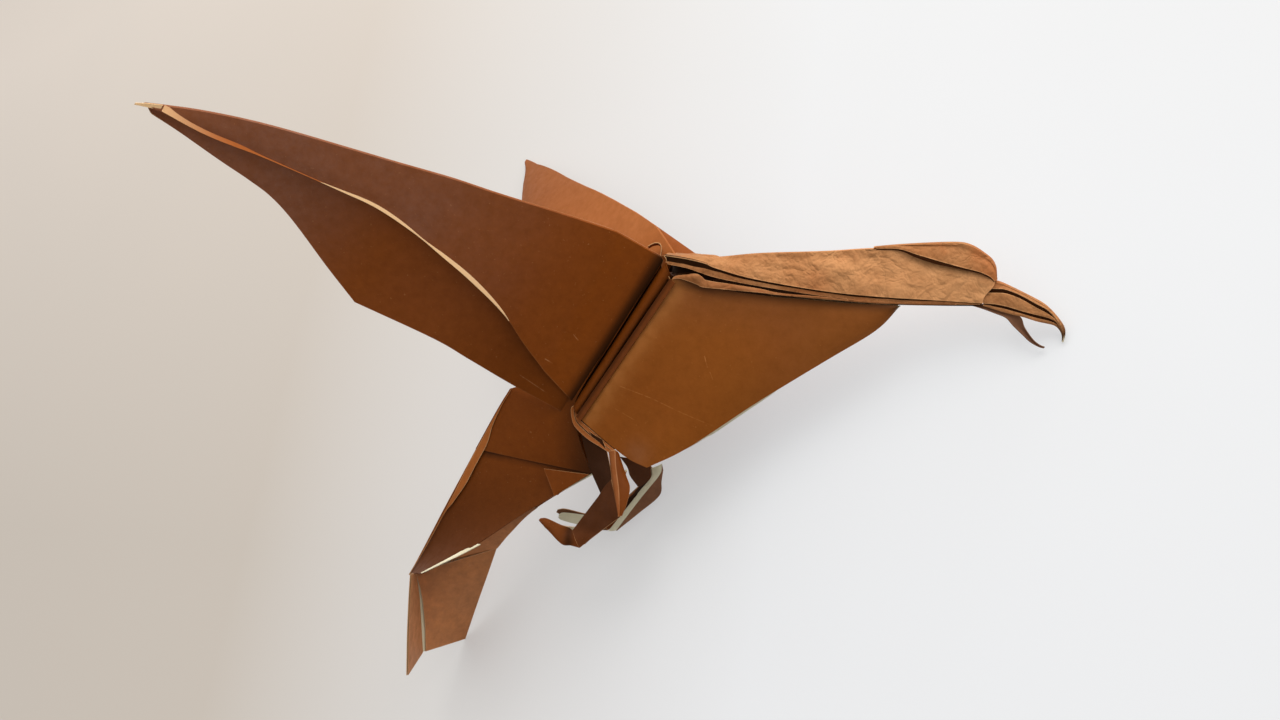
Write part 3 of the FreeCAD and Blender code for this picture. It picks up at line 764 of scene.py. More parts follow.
def fold_head(paper, settings):
    """The flap over the crown, the layered beak with its hook, and the thin lower beak."""
    edge = path(*CAP_EDGE)
    cap = tented(midline(CAP_RIDGE), edge, STEPS, 12, round_by=0.7, bulge=0.35)
    cap = buckled(cap, 0.3, 6.0, settings.paper.seed + 7, ridged=True)
    paper.wall(cap, TAN, BROWN, tone=0.1)
    # A sheet painted as the shadow under the cap's edge
    fallen = [point + Vector((0, 0.05, -fall)) for point, fall in zip(edge, CAP_FALLS)]
    shadow_slit(paper, edge, fallen, 0.12, dark=0.85)

    top, first, second, last = midline(BEAK_TOP), path(*BEAK_FIRST), path(*BEAK_SECOND), path(*BEAK_LAST)

    def tipped(point):
        """Dark at the hook's tip."""
        return 0.85 * ramp(-point.z, -13.5, -8.5)
    upper_beak = tented(top, first, BEAK_CELLS, BEAK_CELLS, round_by=0.5, bulge=0.1)
    paper.wall(upper_beak, TAN, CREAM, tone=0.3, shade=tipped, rubbed=0.15)
    for upper, lower, start, tone in ((first, second, 0.85, 0.0), (second, last, 0.75, 0.3)):
        begin = []
        for a, b in zip(upper, lower):
            away = b - a
            begin.append(a + away.normalized() * min(start, away.length * 0.5) + Vector((0, 0.1, 0)))
        rows = leaf(lower, begin, BEAK_CELLS, BEAK_CELLS, bulge=0.08)
        paper.both(rows, TAN, TAN, tone=tone, shade=tipped, rubbed=0.15)
    # A core painted dark as the shade between the beak's layers
    core = []
    for a, b in zip(creased(last, BEAK_CELLS), creased(first, BEAK_CELLS)):
        row = [mix(a, b, k / BEAK_CELLS) + Vector((0, 0.4, 0)) for k in range(BEAK_CELLS + 1)]
        core.append([Vector((point.x, min(point.y, -0.08), point.z)) for point in row])
    paper.both(core, BROWN, BROWN, rim=BROWN, shade=0.85, worn=0.0)

    # The lower beak is one narrow strip across the middle plane, darkened a little by painted shade
    rows = []
    for near, far in zip(creased(midline(LOWER_OUTER), 7), creased(midline(LOWER_INNER), 7)):
        row = [mix(near, far, k / 5) for k in range(6)]
        rows.append([p + Vector((0, -0.35 + 0.5 * math.sin(math.pi * k / 5), 0)) for k, p in enumerate(row)])
    paper.wall(rows, UMBER, UMBER, rim=UMBER, shade=0.3, worn=0.3)


# ---------------------------------------------------------------- tail

# The spine from the shoulders to the end of the tail, and the right side's edge beside it
SPINE = ((3.5, 23.5), (-8.5, 8.9), (-22.1, -4.5), (-36.5, -9.0), (-40.3, -14.6), (-47.1, -25.7),
         (-57.4, -43.0), (-63.9, -54.2), (-68.9, -62.7))
TAIL_EDGE = ((8.1, -5.0, 24.6), (-4.4, -4.6, 7.0), (-15.3, -3.7, -9.3), (-16.6, -3.5, -15.0),
             (-14.5, -3.7, -22.0), (-11.6, -3.9, -28.9), (-31.3, -5.0, -41.3), (-44.4, -8.7, -50.4),
             (-56.0, -14.2, -57.0))
TAIL_BEND, V_CORNER = 3, 5      # the stations where the spine bends, and where the lower edge turns back
TAIL_CELLS, FAN_CELLS = 20, 16
FRINGE_TUCK = 1.2               # how far a strip that shows past an edge reaches under it
# The fan's spine and its two outer edges, from the end of the tail down
FAN_SPINE = ((-67.2, -62.0), (-66.2, -68.4), (-65.7, -76.9), (-65.4, -84.6))
FAN_RIGHT = ((-59.4, -14.0, -57.6), (-59.9, -14.2, -64.0), (-60.4, -14.6, -74.5), (-60.6, -15.0, -85.0))
FAN_LEFT = ((-47.2, 11.0, -55.6), (-50.5, 12.0, -63.0), (-55.4, 13.4, -73.8), (-60.4, 15.0, -85.0))
# The left side's edge is the right one's match down to here, and ends in these points
LEFT_MATCH = 7
LEFT_END = ((-41.0, 7.9, -49.6), (-47.2, 11.0, -55.6))
# The small flap that covers the step where the tail's layers lap
FLAP_NEAR = ((-24.6, -4.6, -28.5), (-21.6, -4.9, -35.4))
FLAP_FAR = ((-12.2, -4.1, -29.2), (-20.8, -4.6, -34.8))


def fringe(rows, inward, width, cells):
    """A strip that shows past these rows' last column, as wide as width says from the first to the last."""
    strip = []
    for i, row in enumerate(rows):
        away = (row[-1] - row[-2]).normalized()
        reach = FRINGE_TUCK + width(i / (len(rows) - 1))
        strip.append([row[-1] + inward + away * (-FRINGE_TUCK + reach * k / cells)
                      for k in range(cells + 1)])
    return strip


def fold_tail(paper, settings):
    """The rear of the body: closed along its spine, open below, and spread into a fan at its end."""
    gap = settings.paper.gap
    spine, edge = midline(SPINE), path(*TAIL_EDGE)
    right = leaf(spine, edge, STEPS, TAIL_CELLS, corners=(TAIL_BEND, V_CORNER), bulge=0.35)
    right = buckled(right, settings.paper.swell, 16.0, settings.paper.seed + 12)
    lap = V_CORNER * STEPS
    line = (right[lap][-1] - right[lap][0]).normalized()

    def shaded(point):
        """Painted shade, darker down the tail and around the hip."""
        hip = ramp(point.x, -24.0, -12.0) * ramp(-point.z, 2.0, 12.0)
        return min(0.9, 0.30 + 0.36 * ramp(-point.z, 15.0, 55.0) + 0.45 * hip)

    def lapped(point):
        """Painted shade, too, along the step where the upper layer laps over the lower one."""
        away = (point - right[lap][0]).cross(line).length
        return max(shaded(point), 0.85 * math.exp(-(away / 0.55) ** 2))
    paper.wall(shifted(right[:lap + 1], 0.5 * gap), BROWN, BROWN, rim=BROWN, shade=shaded, worn=0.3)
    paper.wall(shifted(right[lap - 2:], -0.5 * gap), BROWN, BROWN, rim=BROWN, shade=lapped, worn=0.3)
    # The flap and the left side are a little darkened by painted shade
    flap = leaf(path(*FLAP_NEAR), path(*FLAP_FAR), 10, 8)
    paper.wall(shifted(flap, 0.2), BROWN, BROWN, tone=0.1, shade=0.22, worn=0.6)
    left_edge = [mirror(point) for point in edge[:LEFT_MATCH]] + path(*LEFT_END)
    left = leaf(left_edge, spine, STEPS, TAIL_CELLS, corners=(TAIL_BEND, V_CORNER), bulge=0.35)
    paper.wall(left, BROWN, BROWN, rim=BROWN, tone=0.1, shade=0.15)
    # The lining is lighter lower down, a painted light against the shade it lies in
    lining = [row[:16] for row in left[6 * STEPS:]]
    paper.wall(shifted(lining, -gap), UMBER, UMBER, rubbed=0.15,
               tone=lambda p: 0.25 + 0.75 * ramp(-p.z, 36.0, 50.0))
    turn_margin(paper, right, gap)

    # The cream hem of the right panel, which shows below its edge, and the sliver at the belly
    inward = Vector((0.0, gap, 0.0))
    hem = fringe(right[7 * STEPS - 1:], inward, lambda place: 1.25 * (1.0 - place) + 0.25, 4)
    sliver = fringe(right[lap:lap + 6], inward, lambda place: 0.8 * (1.0 - place), 3)
    for rows in (hem, sliver):
        paper.wall(rows, CREAM, CREAM, rim=CREAM)
    open_fan(paper, gap)


def turn_margin(paper, right, gap):
    """The margin turned back along the spine: wide near the top, then a thin double edge."""
    margin = []
    raised = Vector((0, -1.7 * gap, 0))
    for row in right[TAIL_BEND * STEPS:]:
        depth = -row[0].z
        width = 0.5 * ramp(depth, 12.0, 18.0) + 1.7 * ramp(depth, 17.0, 25.0)
        width = 0.12 + width * (1.0 - 0.5 * ramp(depth, 34.0, 42.0))
        width = mix(width, 0.34, ramp(depth, 42.0, 43.5))
        start = 0.45 + 0.5 * ramp(depth, 28.0, 40.0)
        across = (row[-1] - row[0]).normalized()
        margin.append([row[0] + raised + across * (start + width * k / 4) for k in range(5)])
    # Painted shade darkens the margin's lower end
    paper.wall(margin, DORSAL, DORSAL, shade=lambda p: 0.25 * ramp(-p.z, 36.0, 48.0))


def open_fan(paper, gap):
    """The fan: each half has a cream sheet outside the brown lining that stops short of the spine."""
    spine, right_edge, left_edge = midline(FAN_SPINE), path(*FAN_RIGHT), path(*FAN_LEFT)
    right = leaf(spine, right_edge, 10, FAN_CELLS, bulge=0.25)
    left = leaf(left_edge, spine, 10, FAN_CELLS, bulge=0.25)
    # Painted shade darkens the right half, most along a line towards its outer edge
    paper.wall(right, BROWN, CREAM, tone=0.6,
               shade=lambda p: 0.32 + 0.43 * math.exp(-((p.y + 10.6) / 1.3) ** 2))
    paper.wall(left, BROWN, CREAM, tone=0.3)
    for rows, turned, depth in ((right, False, 0.3), (left, True, 1.0)):
        lining = []
        for i, row in enumerate(rows):
            row = list(reversed(row)) if turned else row
            place = i / (len(rows) - 1)
            start = 0.15 + depth * math.sin(math.pi * min(1.0, place * 0.62 + 0.06))
            across = (row[-1] - row[0]).normalized()
            reach = (row[-1] - row[0]).length
            line = [row[0] + across * mix(start, reach - 0.15, k / FAN_CELLS) for k in range(FAN_CELLS + 1)]
            lining.append(list(reversed(line)) if turned else line)
        # The lining's light tone brightens it, a painted light against the shade it lies in
        paper.wall(shifted(lining, -gap), UMBER, UMBER, tone=1.0, rubbed=0.2)


# ---------------------------------------------------------------- legs

KNEE = 2      # the station of the shin's borders where they have a corner
SHIN_FRONT = ((-4.0, -9.1, -28.9), (-1.9, -11.4, -33.3), (-0.1, -12.9, -37.0), (-6.3, -11.1, -41.8),
              (-12.7, -9.1, -47.0))


def fold_legs(paper, settings):
    """Both legs: a hollow strip folded down from the belly to the knee, the heel and the toe."""
    seed = settings.paper.seed
    fold_lobes(paper)
    fold_right_leg(paper, seed)
    fold_left_leg(paper)
    fold_toes(paper, seed)
    line_legs(paper)


def fold_lobes(paper):
    """The two lobes in front of each thigh, which meet in a ridge that runs down to the knee."""
    ridge = path((-4.4, -5.8, -22.1), (-3.3, -8.0, -25.7), (-1.5, -10.6, -30.5), (-0.7, -12.0, -34.0),
                 (-0.2, -13.0, -36.9))
    rear_lobe = path((-6.2, -5.5, -22.7), (-5.0, -7.2, -26.0), (-3.9, -9.0, -28.6), (-2.2, -11.1, -32.9),
                     (-0.4, -12.8, -36.9))
    front_lobe = path((-3.5, -5.2, -23.6), (-0.6, -7.8, -28.1), (1.0, -9.4, -30.6), (0.9, -11.4, -34.2),
                      (0.2, -12.8, -36.8))
    # Painted shade darkens the front lobe more than the rear one
    paper.both(leaf(rear_lobe, ridge, STEPS, 6, bulge=0.35), BROWN, CREAM, tone=0.2, shade=0.10, rubbed=0.35)
    paper.both(leaf(ridge, front_lobe, STEPS, 6, bulge=0.25), BROWN, CREAM, shade=0.36)


def fold_right_leg(paper, seed):
    """The right thigh and shin, darkened by painted shade as they lie in the shade of the belly."""
    thigh_back = path((-15.2, -3.6, -16.6), (-12.8, -4.0, -25.0), (-11.2, -4.8, -28.5), (-7.6, -7.3, -33.1))
    thigh_front = path((-8.2, -4.9, -19.9), (-6.8, -5.4, -22.6), (-5.3, -6.9, -26.0), (-4.0, -8.8, -29.0))
    thigh = buckled(leaf(thigh_back, thigh_front, STEPS, 8, bulge=0.2), 0.5, 4.0, seed + 14)
    paper.wall(thigh, BROWN, UMBER, tone=0.25, shade=0.88, worn=0.5)
    shin_back = path((-7.6, -7.5, -33.1), (-10.0, -7.5, -36.2), (-12.0, -7.5, -38.8), (-13.6, -7.5, -40.9),
                     (-15.3, -7.5, -43.1))
    shin = leaf(shin_back, path(*SHIN_FRONT), STEPS, 10, corners=(KNEE,), bulge=0.35)
    paper.wall(buckled(shin, 0.5, 4.5, seed + 15), BROWN, UMBER, tone=0.4, worn=0.6,
               shade=lambda p: 0.70 - 0.25 * ramp(-p.z, 40.0, 46.0))


def fold_left_leg(paper):
    """The left thigh and shin, which stand a little further forward."""
    thigh_back = path((-6.9, 3.5, -25.7), (-5.3, 4.6, -28.5), (-5.0, 5.8, -31.0), (-3.6, 7.5, -33.9))
    thigh_front = path((0.5, 6.0, -26.8), (0.5, 6.4, -28.8), (0.1, 7.0, -31.6), (-3.0, 7.7, -34.1))
    # Painted shade darkens the thigh more than the shin
    paper.wall(leaf(thigh_back, thigh_front, STEPS, 8), BROWN, BROWN, tone=0.9, shade=0.62, worn=0.4)
    shin_back = path((-3.4, 7.7, -34.0), (-6.6, 7.9, -37.2), (-9.8, 7.7, -39.6), (-13.0, 7.6, -41.5),
                     (-15.3, 7.5, -43.1))
    shin_front = path((0.3, 9.2, -31.4), (1.0, 11.4, -33.6)) + [mirror(p) for p in path(*SHIN_FRONT[KNEE:])]
    shin = leaf(shin_front, shin_back, STEPS, 10, corners=(KNEE,), bulge=0.35)
    paper.wall(shin, BROWN, BROWN, tone=0.3, shade=0.3)


def fold_toes(paper, seed):
    """Both toes, with painted shade that is darkest behind the heel."""
    top = path((-15.3, -7.5, -43.1), (-16.4, -7.0, -42.7), (-18.9, -6.6, -42.3), (-23.5, -5.5, -41.3),
               (-25.5, -5.0, -41.6))
    low = path((-12.7, -9.1, -47.0), (-15.6, -8.2, -46.9), (-18.3, -7.8, -46.9), (-22.6, -6.2, -44.4),
               (-25.9, -5.0, -42.3))
    toe = buckled(leaf(top, low, 7, 8, corners=(1,), bulge=0.4), 0.4, 3.0, seed + 16)
    paper.both(toe, BROWN, UMBER, tone=0.2, worn=0.7,
               shade=lambda p: 0.30 + 0.5 * math.exp(-((p.x + 16.2) / 1.6) ** 2))


def line_legs(paper):
    """The legs' inner layer: cream along its front edge and at the toe, brown above the knee, and a sheet
    painted dark as the shade in each leg's hollow.
    """
    cream_outer = path((3.3, 7.2, -27.5), (2.4, 8.2, -30.3), (-1.5, 9.6, -35.0), (-4.5, 10.0, -38.7),
                       (-10.3, 9.0, -46.7))
    cream_inner = path((0.6, 6.8, -28.7), (0.2, 7.6, -31.2), (-3.3, 8.9, -35.2), (-5.6, 9.2, -38.2),
                       (-12.2, 8.2, -46.9))
    brown_top = path((3.2, 7.5, -27.8), (2.4, 8.5, -30.3), (-1.5, 9.9, -35.0), (-4.5, 10.3, -38.7),
                     (-10.3, 9.2, -46.7))
    brown_low = path((3.1, 8.6, -29.4), (2.1, 10.0, -32.6), (1.0, 11.6, -36.9), (-4.7, 11.0, -42.1),
                     (-10.4, 9.5, -47.0))
    hollow_front = path((0.3, 7.9, -31.2), (-3.2, 9.2, -35.3), (-9.6, 9.0, -42.9))
    hollow_back = path((-3.4, 7.9, -33.9), (-7.6, 8.2, -38.0), (-12.6, 7.9, -42.6))
    layers = ((cream_inner, cream_outer, CREAM, 0.0, 0.0), (brown_top, brown_low, UMBER, 0.05, 0.0),
              (hollow_back, hollow_front, BROWN, 0.0, 0.93))

    def hidden(point):
        """The same layer's place inside the right leg, which stands further back."""
        return mirror(point) + Vector((-1.5 - 3.0 * ramp(point.z, -45.0, -30.0), 1.6, 0.7))
    for near, far, finish, tone, shade in layers:
        left_rows = leaf(near, far, 7, 5, bulge=0.2 if finish == CREAM else 0.0)
        right_rows = leaf([hidden(point) for point in far], [hidden(point) for point in near], 7, 5)
        for rows in (left_rows, right_rows):
            paper.wall(rows, finish, finish, rim=finish, tone=tone, shade=shade, worn=0.3)
    toe_up = path((-13.8, -6.6, -42.4), (-18.0, -6.2, -42.6), (-23.4, -5.1, -42.2), (-24.9, -4.6, -42.7))
    toe_down = path((-13.4, -6.8, -45.6), (-20.0, -5.8, -45.2), (-24.2, -4.8, -44.2), (-25.0, -4.5, -43.5))
    paper.both(leaf(toe_down, toe_up, 7, 5, bulge=0.3), CREAM, CREAM, rim=UMBER)


# ---------------------------------------------------------------- finishes

def screen(colour):
    """A colour property's ordinary screen values of 0 to 255."""
    return [channel * 255.0 for channel in colour]


def tint(colour, share=1.0):
    """The linear colour of an ordinary screen colour of 0 to 255, darkened to this share of it."""
    def linear(value):
        """One channel's linear value."""
        value = value * share / 255.0
        return value / 12.92 if value <= 0.04045 else ((value + 0.055) / 1.055) ** 2.4
    return (*map(linear, colour), 1.0)


SHEEN = 0.09      # of all the paper and the floor


class Nodes:
    """A new material, and short ways to lay out its nodes."""

    def __init__(self, name):
        self.material = bpy.data.materials.new(name)
        self.material.use_nodes = True
        self.tree = self.material.node_tree
        self.tree.nodes.clear()
        self.where = self.new("ShaderNodeNewGeometry").outputs["Position"]

    def new(self, kind, **settings):
        """A node of this kind with these settings."""
        node = self.tree.nodes.new(kind)
        for name, value in settings.items():
            setattr(node, name, value)
        return node

    def put(self, value, socket):
        """Links an output to a socket, or gives the socket a number, a colour or a vector."""
        if isinstance(value, bpy.types.NodeSocket):
            self.tree.links.new(value, socket)
        else:
            socket.default_value = value

    def noise(self, scale, detail, roughness=0.5, distortion=0.0):
        """A noise of this many swells to the metre."""
        node = self.new("ShaderNodeTexNoise")
        self.put(self.where, node.inputs["Vector"])
        self.put(scale, node.inputs["Scale"])
        self.put(detail, node.inputs["Detail"])
        self.put(roughness, node.inputs["Roughness"])
        self.put(distortion, node.inputs["Distortion"])
        return node.outputs["Fac"]

    def attribute(self, name):
        """What the mesh's walls say for this mark."""
        return self.new("ShaderNodeAttribute", attribute_name=name).outputs["Fac"]

    def math(self, operation, *values):
        """The result of one sum."""
        node = self.new("ShaderNodeMath", operation=operation)
        for socket, value in zip(node.inputs, values):
            self.put(value, socket)
        return node.outputs["Value"]

    def times(self, value, factor):
        """The product of two values."""
        return self.math("MULTIPLY", value, factor)

    def off(self, value, middle):
        """How far a value is from the middle, either way."""
        return self.math("ABSOLUTE", self.math("SUBTRACT", value, middle))

    def range(self, value, low, high, to_low=0.0, to_high=1.0):
        """A value moved from one range to another and held within it."""
        node = self.new("ShaderNodeMapRange")
        self.put(value, node.inputs["Value"])
        for name, number in (("From Min", low), ("From Max", high), ("To Min", to_low), ("To Max", to_high)):
            self.put(number, node.inputs[name])
        return node.outputs["Result"]

    def blend(self, share, first, second):
        """The colour that is this share of the way from the first to the second."""
        node = self.new("ShaderNodeMix", data_type="RGBA")
        for place, value in ((0, share), (6, first), (7, second)):
            self.put(value, node.inputs[place])
        return node.outputs[2]

    def vector(self, operation, first, second):
        """A node that works out something from two vectors."""
        node = self.new("ShaderNodeVectorMath", operation=operation)
        self.put(first, node.inputs[0])
        self.put(second, node.inputs[1])
        return node

    def line(self, start, end, width):
        """1 on the straight line between two points of the bird, seen from its side, and 0 beside it."""
        start, end = laid(Vector(start)), laid(Vector(end))
        run = end - start
        across = run.cross(laid(Vector((0, 1, 0))) - laid(Vector((0, 0, 0)))).normalized()
        offset = self.vector("SUBTRACT", self.where, start).outputs["Vector"]
        away = self.math("ABSOLUTE", self.vector("DOT_PRODUCT", offset, across).outputs["Value"])
        along = self.vector("DOT_PRODUCT", offset, run / run.length_squared).outputs["Value"]
        inside = self.range(self.off(along, 0.5), 0.52, 0.44)
        return self.times(self.range(away, width * MM, width * 0.3 * MM), inside)

    def finish(self, colour, roughness, height, strength, distance):
        """The shader and the output, with a bump this high, in metres."""
        shader = self.new("ShaderNodeBsdfPrincipled")
        self.put(colour, shader.inputs["Base Color"])
        self.put(roughness, shader.inputs["Roughness"])
        self.put(SHEEN, shader.inputs["Specular IOR Level"])
        bump = self.new("ShaderNodeBump")
        self.put(strength, bump.inputs["Strength"])
        self.put(distance, bump.inputs["Distance"])
        self.put(height, bump.inputs["Height"])
        self.put(bump.outputs["Normal"], shader.inputs["Normal"])
        output = self.new("ShaderNodeOutputMaterial")
        self.put(shader.outputs["BSDF"], output.inputs["Surface"])
        return shader, output


# Fine light lines that folding and handling left in the brown side, partly a painted highlight along the
# creases: start, end, width and strength
SCORES = (((-3.7, -5.6, -6.0), (5.1, -5.6, -8.8), 0.15, 0.36),
          ((5.1, -5.6, -8.8), (20.3, -3.6, -14.9), 0.13, 0.32),
          ((18.5, -5.0, 2.2), (19.2, -5.0, -0.6), 0.16, 0.6),
          ((19.8, -5.0, -1.6), (20.6, -5.0, -3.6), 0.12, 0.4),
          ((-21.0, -11.5, 0.5), (-19.4, -11.0, -1.0), 0.18, 0.5),
          ((-13.5, -12.0, 6.2), (-12.6, -11.4, 4.4), 0.14, 0.5),
          ((-6.5, -5.6, -11.0), (0.5, -5.6, -14.5), 0.12, 0.25),
          ((-27.0, -14.0, -5.0), (-21.5, -10.0, -10.0), 0.16, 0.4))


def brown_paper(name, deep, mid, pale, worn, grain=0.00006, scores=False):
    """Kraft-like paper: clouded with darker and lighter fibre, faintly mottled and lighter at its edges."""
    n = Nodes(name)
    clouds = n.range(n.noise(42.0, 3.0, 0.55), 0.32, 0.68)
    mottle = n.range(n.noise(380.0, 5.0, 0.65), 0.30, 0.70)
    fibre = n.range(n.noise(900.0, 4.0, 0.7), 0.30, 0.72)
    specks = n.range(n.noise(1500.0, 2.0, 0.5), 0.70, 0.76)
    # The tone mark moves the colour from deep towards mid, which in places is a painted sheen
    colour = n.blend(n.attribute("tone"), tint(deep), tint(mid))
    colour = n.blend(n.times(clouds, 0.45), colour, tint(pale))
    colour = n.blend(n.times(mottle, 0.42), colour, tint(deep, 0.80))
    colour = n.blend(n.times(fibre, 0.26), colour, tint(pale))
    colour = n.blend(n.times(specks, 0.25), colour, tint(worn))
    uneven = n.range(n.noise(260.0, 3.0), 0.25, 0.6, 0.35, 1.0)
    # The rubbing mark lightens the paper with wear, and in places with a painted highlight
    rubbed = n.times(n.math("POWER", n.attribute("wear_and_highlight"), 2.0), uneven)
    colour = n.blend(rubbed, colour, tint(worn))
    if scores:
        patchy = n.range(n.noise(900.0, 2.0), 0.38, 0.56, 0.15, 1.0)
        for start, end, width, strength in SCORES:
            score = n.times(n.times(n.line(start, end, width), patchy), strength)
            colour = n.blend(score, colour, tint(worn))
    # The shade mark darkens it: painted shade
    colour = n.blend(n.attribute("shade"), colour, tint(deep, 0.22))
    height = n.math("ADD", n.times(mottle, 0.6), n.times(fibre, 0.7))
    n.finish(colour, n.range(mottle, 0.0, 1.0, 0.46, 0.62), height, 0.45, grain)


def crinkled_paper(name, deep, mid, pale, rosy, worn):
    """The thin, much handled paper of the neck and head: wrinkled like soft leather."""
    n = Nodes(name)
    clouds = n.range(n.noise(120.0, 4.0, 0.6), 0.32, 0.68)
    wrinkle = n.range(n.noise(260.0, 6.0, 0.66, distortion=0.4), 0.30, 0.70)
    crease = n.range(n.off(n.noise(165.0, 3.0, 0.5, distortion=0.5), 0.5), 0.0, 0.14)
    fold = n.range(n.off(n.noise(310.0, 2.0, 0.5, distortion=0.3), 0.5), 0.0, 0.16)
    grain = n.range(n.noise(1400.0, 4.0, 0.6), 0.30, 0.70)
    patches = n.range(n.noise(75.0, 3.0, 0.5, distortion=0.8), 0.50, 0.64)
    colour = n.blend(clouds, tint(mid), tint(pale))
    colour = n.blend(n.times(patches, 0.6), colour, tint(rosy))
    colour = n.blend(n.times(wrinkle, 0.24), colour, tint(deep))
    colour = n.blend(n.times(grain, 0.18), colour, tint(deep, 0.72))
    colour = n.blend(n.attribute("tone"), colour, n.blend(0.75, colour, tint(deep)))
    uneven = n.range(n.noise(300.0, 3.0), 0.25, 0.6, 0.4, 1.0)
    # The rubbing mark lightens it, and the shade mark darkens it with painted shade
    colour = n.blend(n.times(n.attribute("wear_and_highlight"), uneven), colour, tint(worn))
    colour = n.blend(n.attribute("shade"), colour, tint(deep, 0.3))
    height = n.math("ADD", n.times(wrinkle, 0.35), n.times(grain, 0.10))
    height = n.math("ADD", n.math("ADD", height, n.times(crease, 0.8)), n.times(fold, 0.45))
    n.finish(colour, n.range(wrinkle, 0.0, 1.0, 0.50, 0.68), height, 0.9, 0.00036)


def plain_paper(name, base, shade, worn):
    """The sheet's undyed side and its cut rim: soft, slightly fibrous and a little uneven in colour."""
    n = Nodes(name)
    clouds = n.range(n.noise(160.0, 4.0, 0.6), 0.32, 0.68)
    fibre = n.range(n.noise(1300.0, 4.0, 0.7), 0.30, 0.70)
    colour = n.blend(n.times(clouds, 0.6), tint(base), tint(shade))
    # The tone mark moves it towards the third colour; on the lining's lips and the wing's corner that is a
    # painted highlight
    colour = n.blend(n.times(n.attribute("tone"), 0.9), colour, tint(worn))
    n.finish(colour, n.range(fibre, 0.0, 1.0, 0.60, 0.75), fibre, 0.4, 0.00005)


def finishes(colours):
    """The sheet's materials in slot order, made once, from the user's colours and those that cloud them."""
    brown, chest, margin = screen(colours.brown), screen(colours.chest), screen(colours.margin)
    tan, umber = screen(colours.tan), screen(colours.umber)
    if FINISH_NAMES[0] not in bpy.data.materials:
        # The brown's greyer mid colour serves its painted sheen
        brown_paper("brown_paper", brown, (141, 92, 70), (146, 76, 20), (206, 146, 96), scores=True)
        brown_paper("turned_margin", margin, (150, 84, 42), (176, 104, 50), (206, 156, 110), grain=0.00002)
        crinkled_paper("crinkled_tan_paper", (132, 76, 38), tan, (193, 136, 87), (188, 110, 60),
                       (228, 166, 112))
        # The lining's light mid colour is brightened, a painted light against the shade it lies in
        brown_paper("umber_paper", umber, (204, 132, 80), (166, 114, 80), (206, 162, 122))
        plain_paper("cream_paper", screen(colours.cream), (208, 200, 168), (206, 184, 140))
        plain_paper("paper_edge", screen(colours.edge), (186, 138, 92), (160, 110, 70))
        # The lining's glow is its pale colour brightened, a painted highlight
        plain_paper("lining_glow", (204, 116, 58), (190, 102, 48), (252, 212, 160))
        # The chest's light worn colour is also its painted highlight beside the pleat
        brown_paper("chest_paper", chest, (146, 92, 58), (150, 86, 30), (196, 128, 68), scores=True)
    return [bpy.data.materials[name] for name in FINISH_NAMES]


# ---------------------------------------------------------------- operators

REGION_NAMES = ("wings", "pleats", "chest", "neck", "head", "tail", "legs")


def fold_region(context, name, fold):
    """Makes one region's object with its fold function."""
    settings = context.scene.origami_eagle
    paper = Paper(settings)
    fold(paper, settings)
    paper.built(name)
    return {"FINISHED"}


class EAGLE_OT_wings(bpy.types.Operator):
    """Folds both wings with the linings that show between their layers"""
    bl_idname = "eagle.wings"
    bl_label = "Wings"
    bl_options = {"REGISTER", "UNDO"}

    def execute(self, context):
        return fold_region(context, "wings", fold_wing)


class EAGLE_OT_pleats(bpy.types.Operator):
    """Folds the crimped pleats beside the wing roots"""
    bl_idname = "eagle.pleats"
    bl_label = "Pleats"
    bl_options = {"REGISTER", "UNDO"}

    def execute(self, context):
        return fold_region(context, "pleats", fold_pleat)


class EAGLE_OT_chest(bpy.types.Operator):
    """Folds the chest and belly"""
    bl_idname = "eagle.chest"
    bl_label = "Chest"
    bl_options = {"REGISTER", "UNDO"}

    def execute(self, context):
        return fold_region(context, "chest", fold_chest)


class EAGLE_OT_neck(bpy.types.Operator):
    """Folds the layers of the back and neck"""
    bl_idname = "eagle.neck"
    bl_label = "Neck"
    bl_options = {"REGISTER", "UNDO"}

    def execute(self, context):
        return fold_region(context, "neck", fold_neck)


class EAGLE_OT_head(bpy.types.Operator):
    """Folds the crown and both halves of the beak"""
    bl_idname = "eagle.head"
    bl_label = "Head"
    bl_options = {"REGISTER", "UNDO"}

    def execute(self, context):
        return fold_region(context, "head", fold_head)


class EAGLE_OT_tail(bpy.types.Operator):
    """Folds the rear of the body and the tail"""
    bl_idname = "eagle.tail"
    bl_label = "Tail"
    bl_options = {"REGISTER", "UNDO"}

    def execute(self, context):
        return fold_region(context, "tail", fold_tail)


class EAGLE_OT_legs(bpy.types.Operator):
    """Folds both legs"""
    bl_idname = "eagle.legs"
    bl_label = "Legs"
    bl_options = {"REGISTER", "UNDO"}

    def execute(self, context):
        return fold_region(context, "legs", fold_legs)


class EAGLE_OT_join(bpy.types.Operator):
    """Joins the folded regions into the one sheet that they are"""
    bl_idname = "eagle.join"
    bl_label = "Join the sheet"
    bl_options = {"REGISTER", "UNDO"}

    def execute(self, context):
        parts = [bpy.data.objects[name] for name in REGION_NAMES]
        sheet = parts[0]
        chosen = {"active_object": sheet, "selected_objects": parts, "selected_editable_objects": parts}
        with context.temp_override(**chosen):
            bpy.ops.object.join()
        sheet.name = "folded_paper_eagle"
        sheet.data.name = "folded_paper_eagle"
        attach(sheet, "root")
        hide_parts("folded_sheet")
        return {"FINISHED"}


# ---------------------------------------------------------------- stage

FLOOR_REACH = 3.0                               # metres from the middle to each side
SENSOR_WIDTH = 36.0                             # millimetres
KEY_SIZE, KEY_AWAY = 0.9, 0.75                  # metres
KEY_TOWARDS = Vector((0.15, -0.25, 1.0))        # from the bird, in its own frame


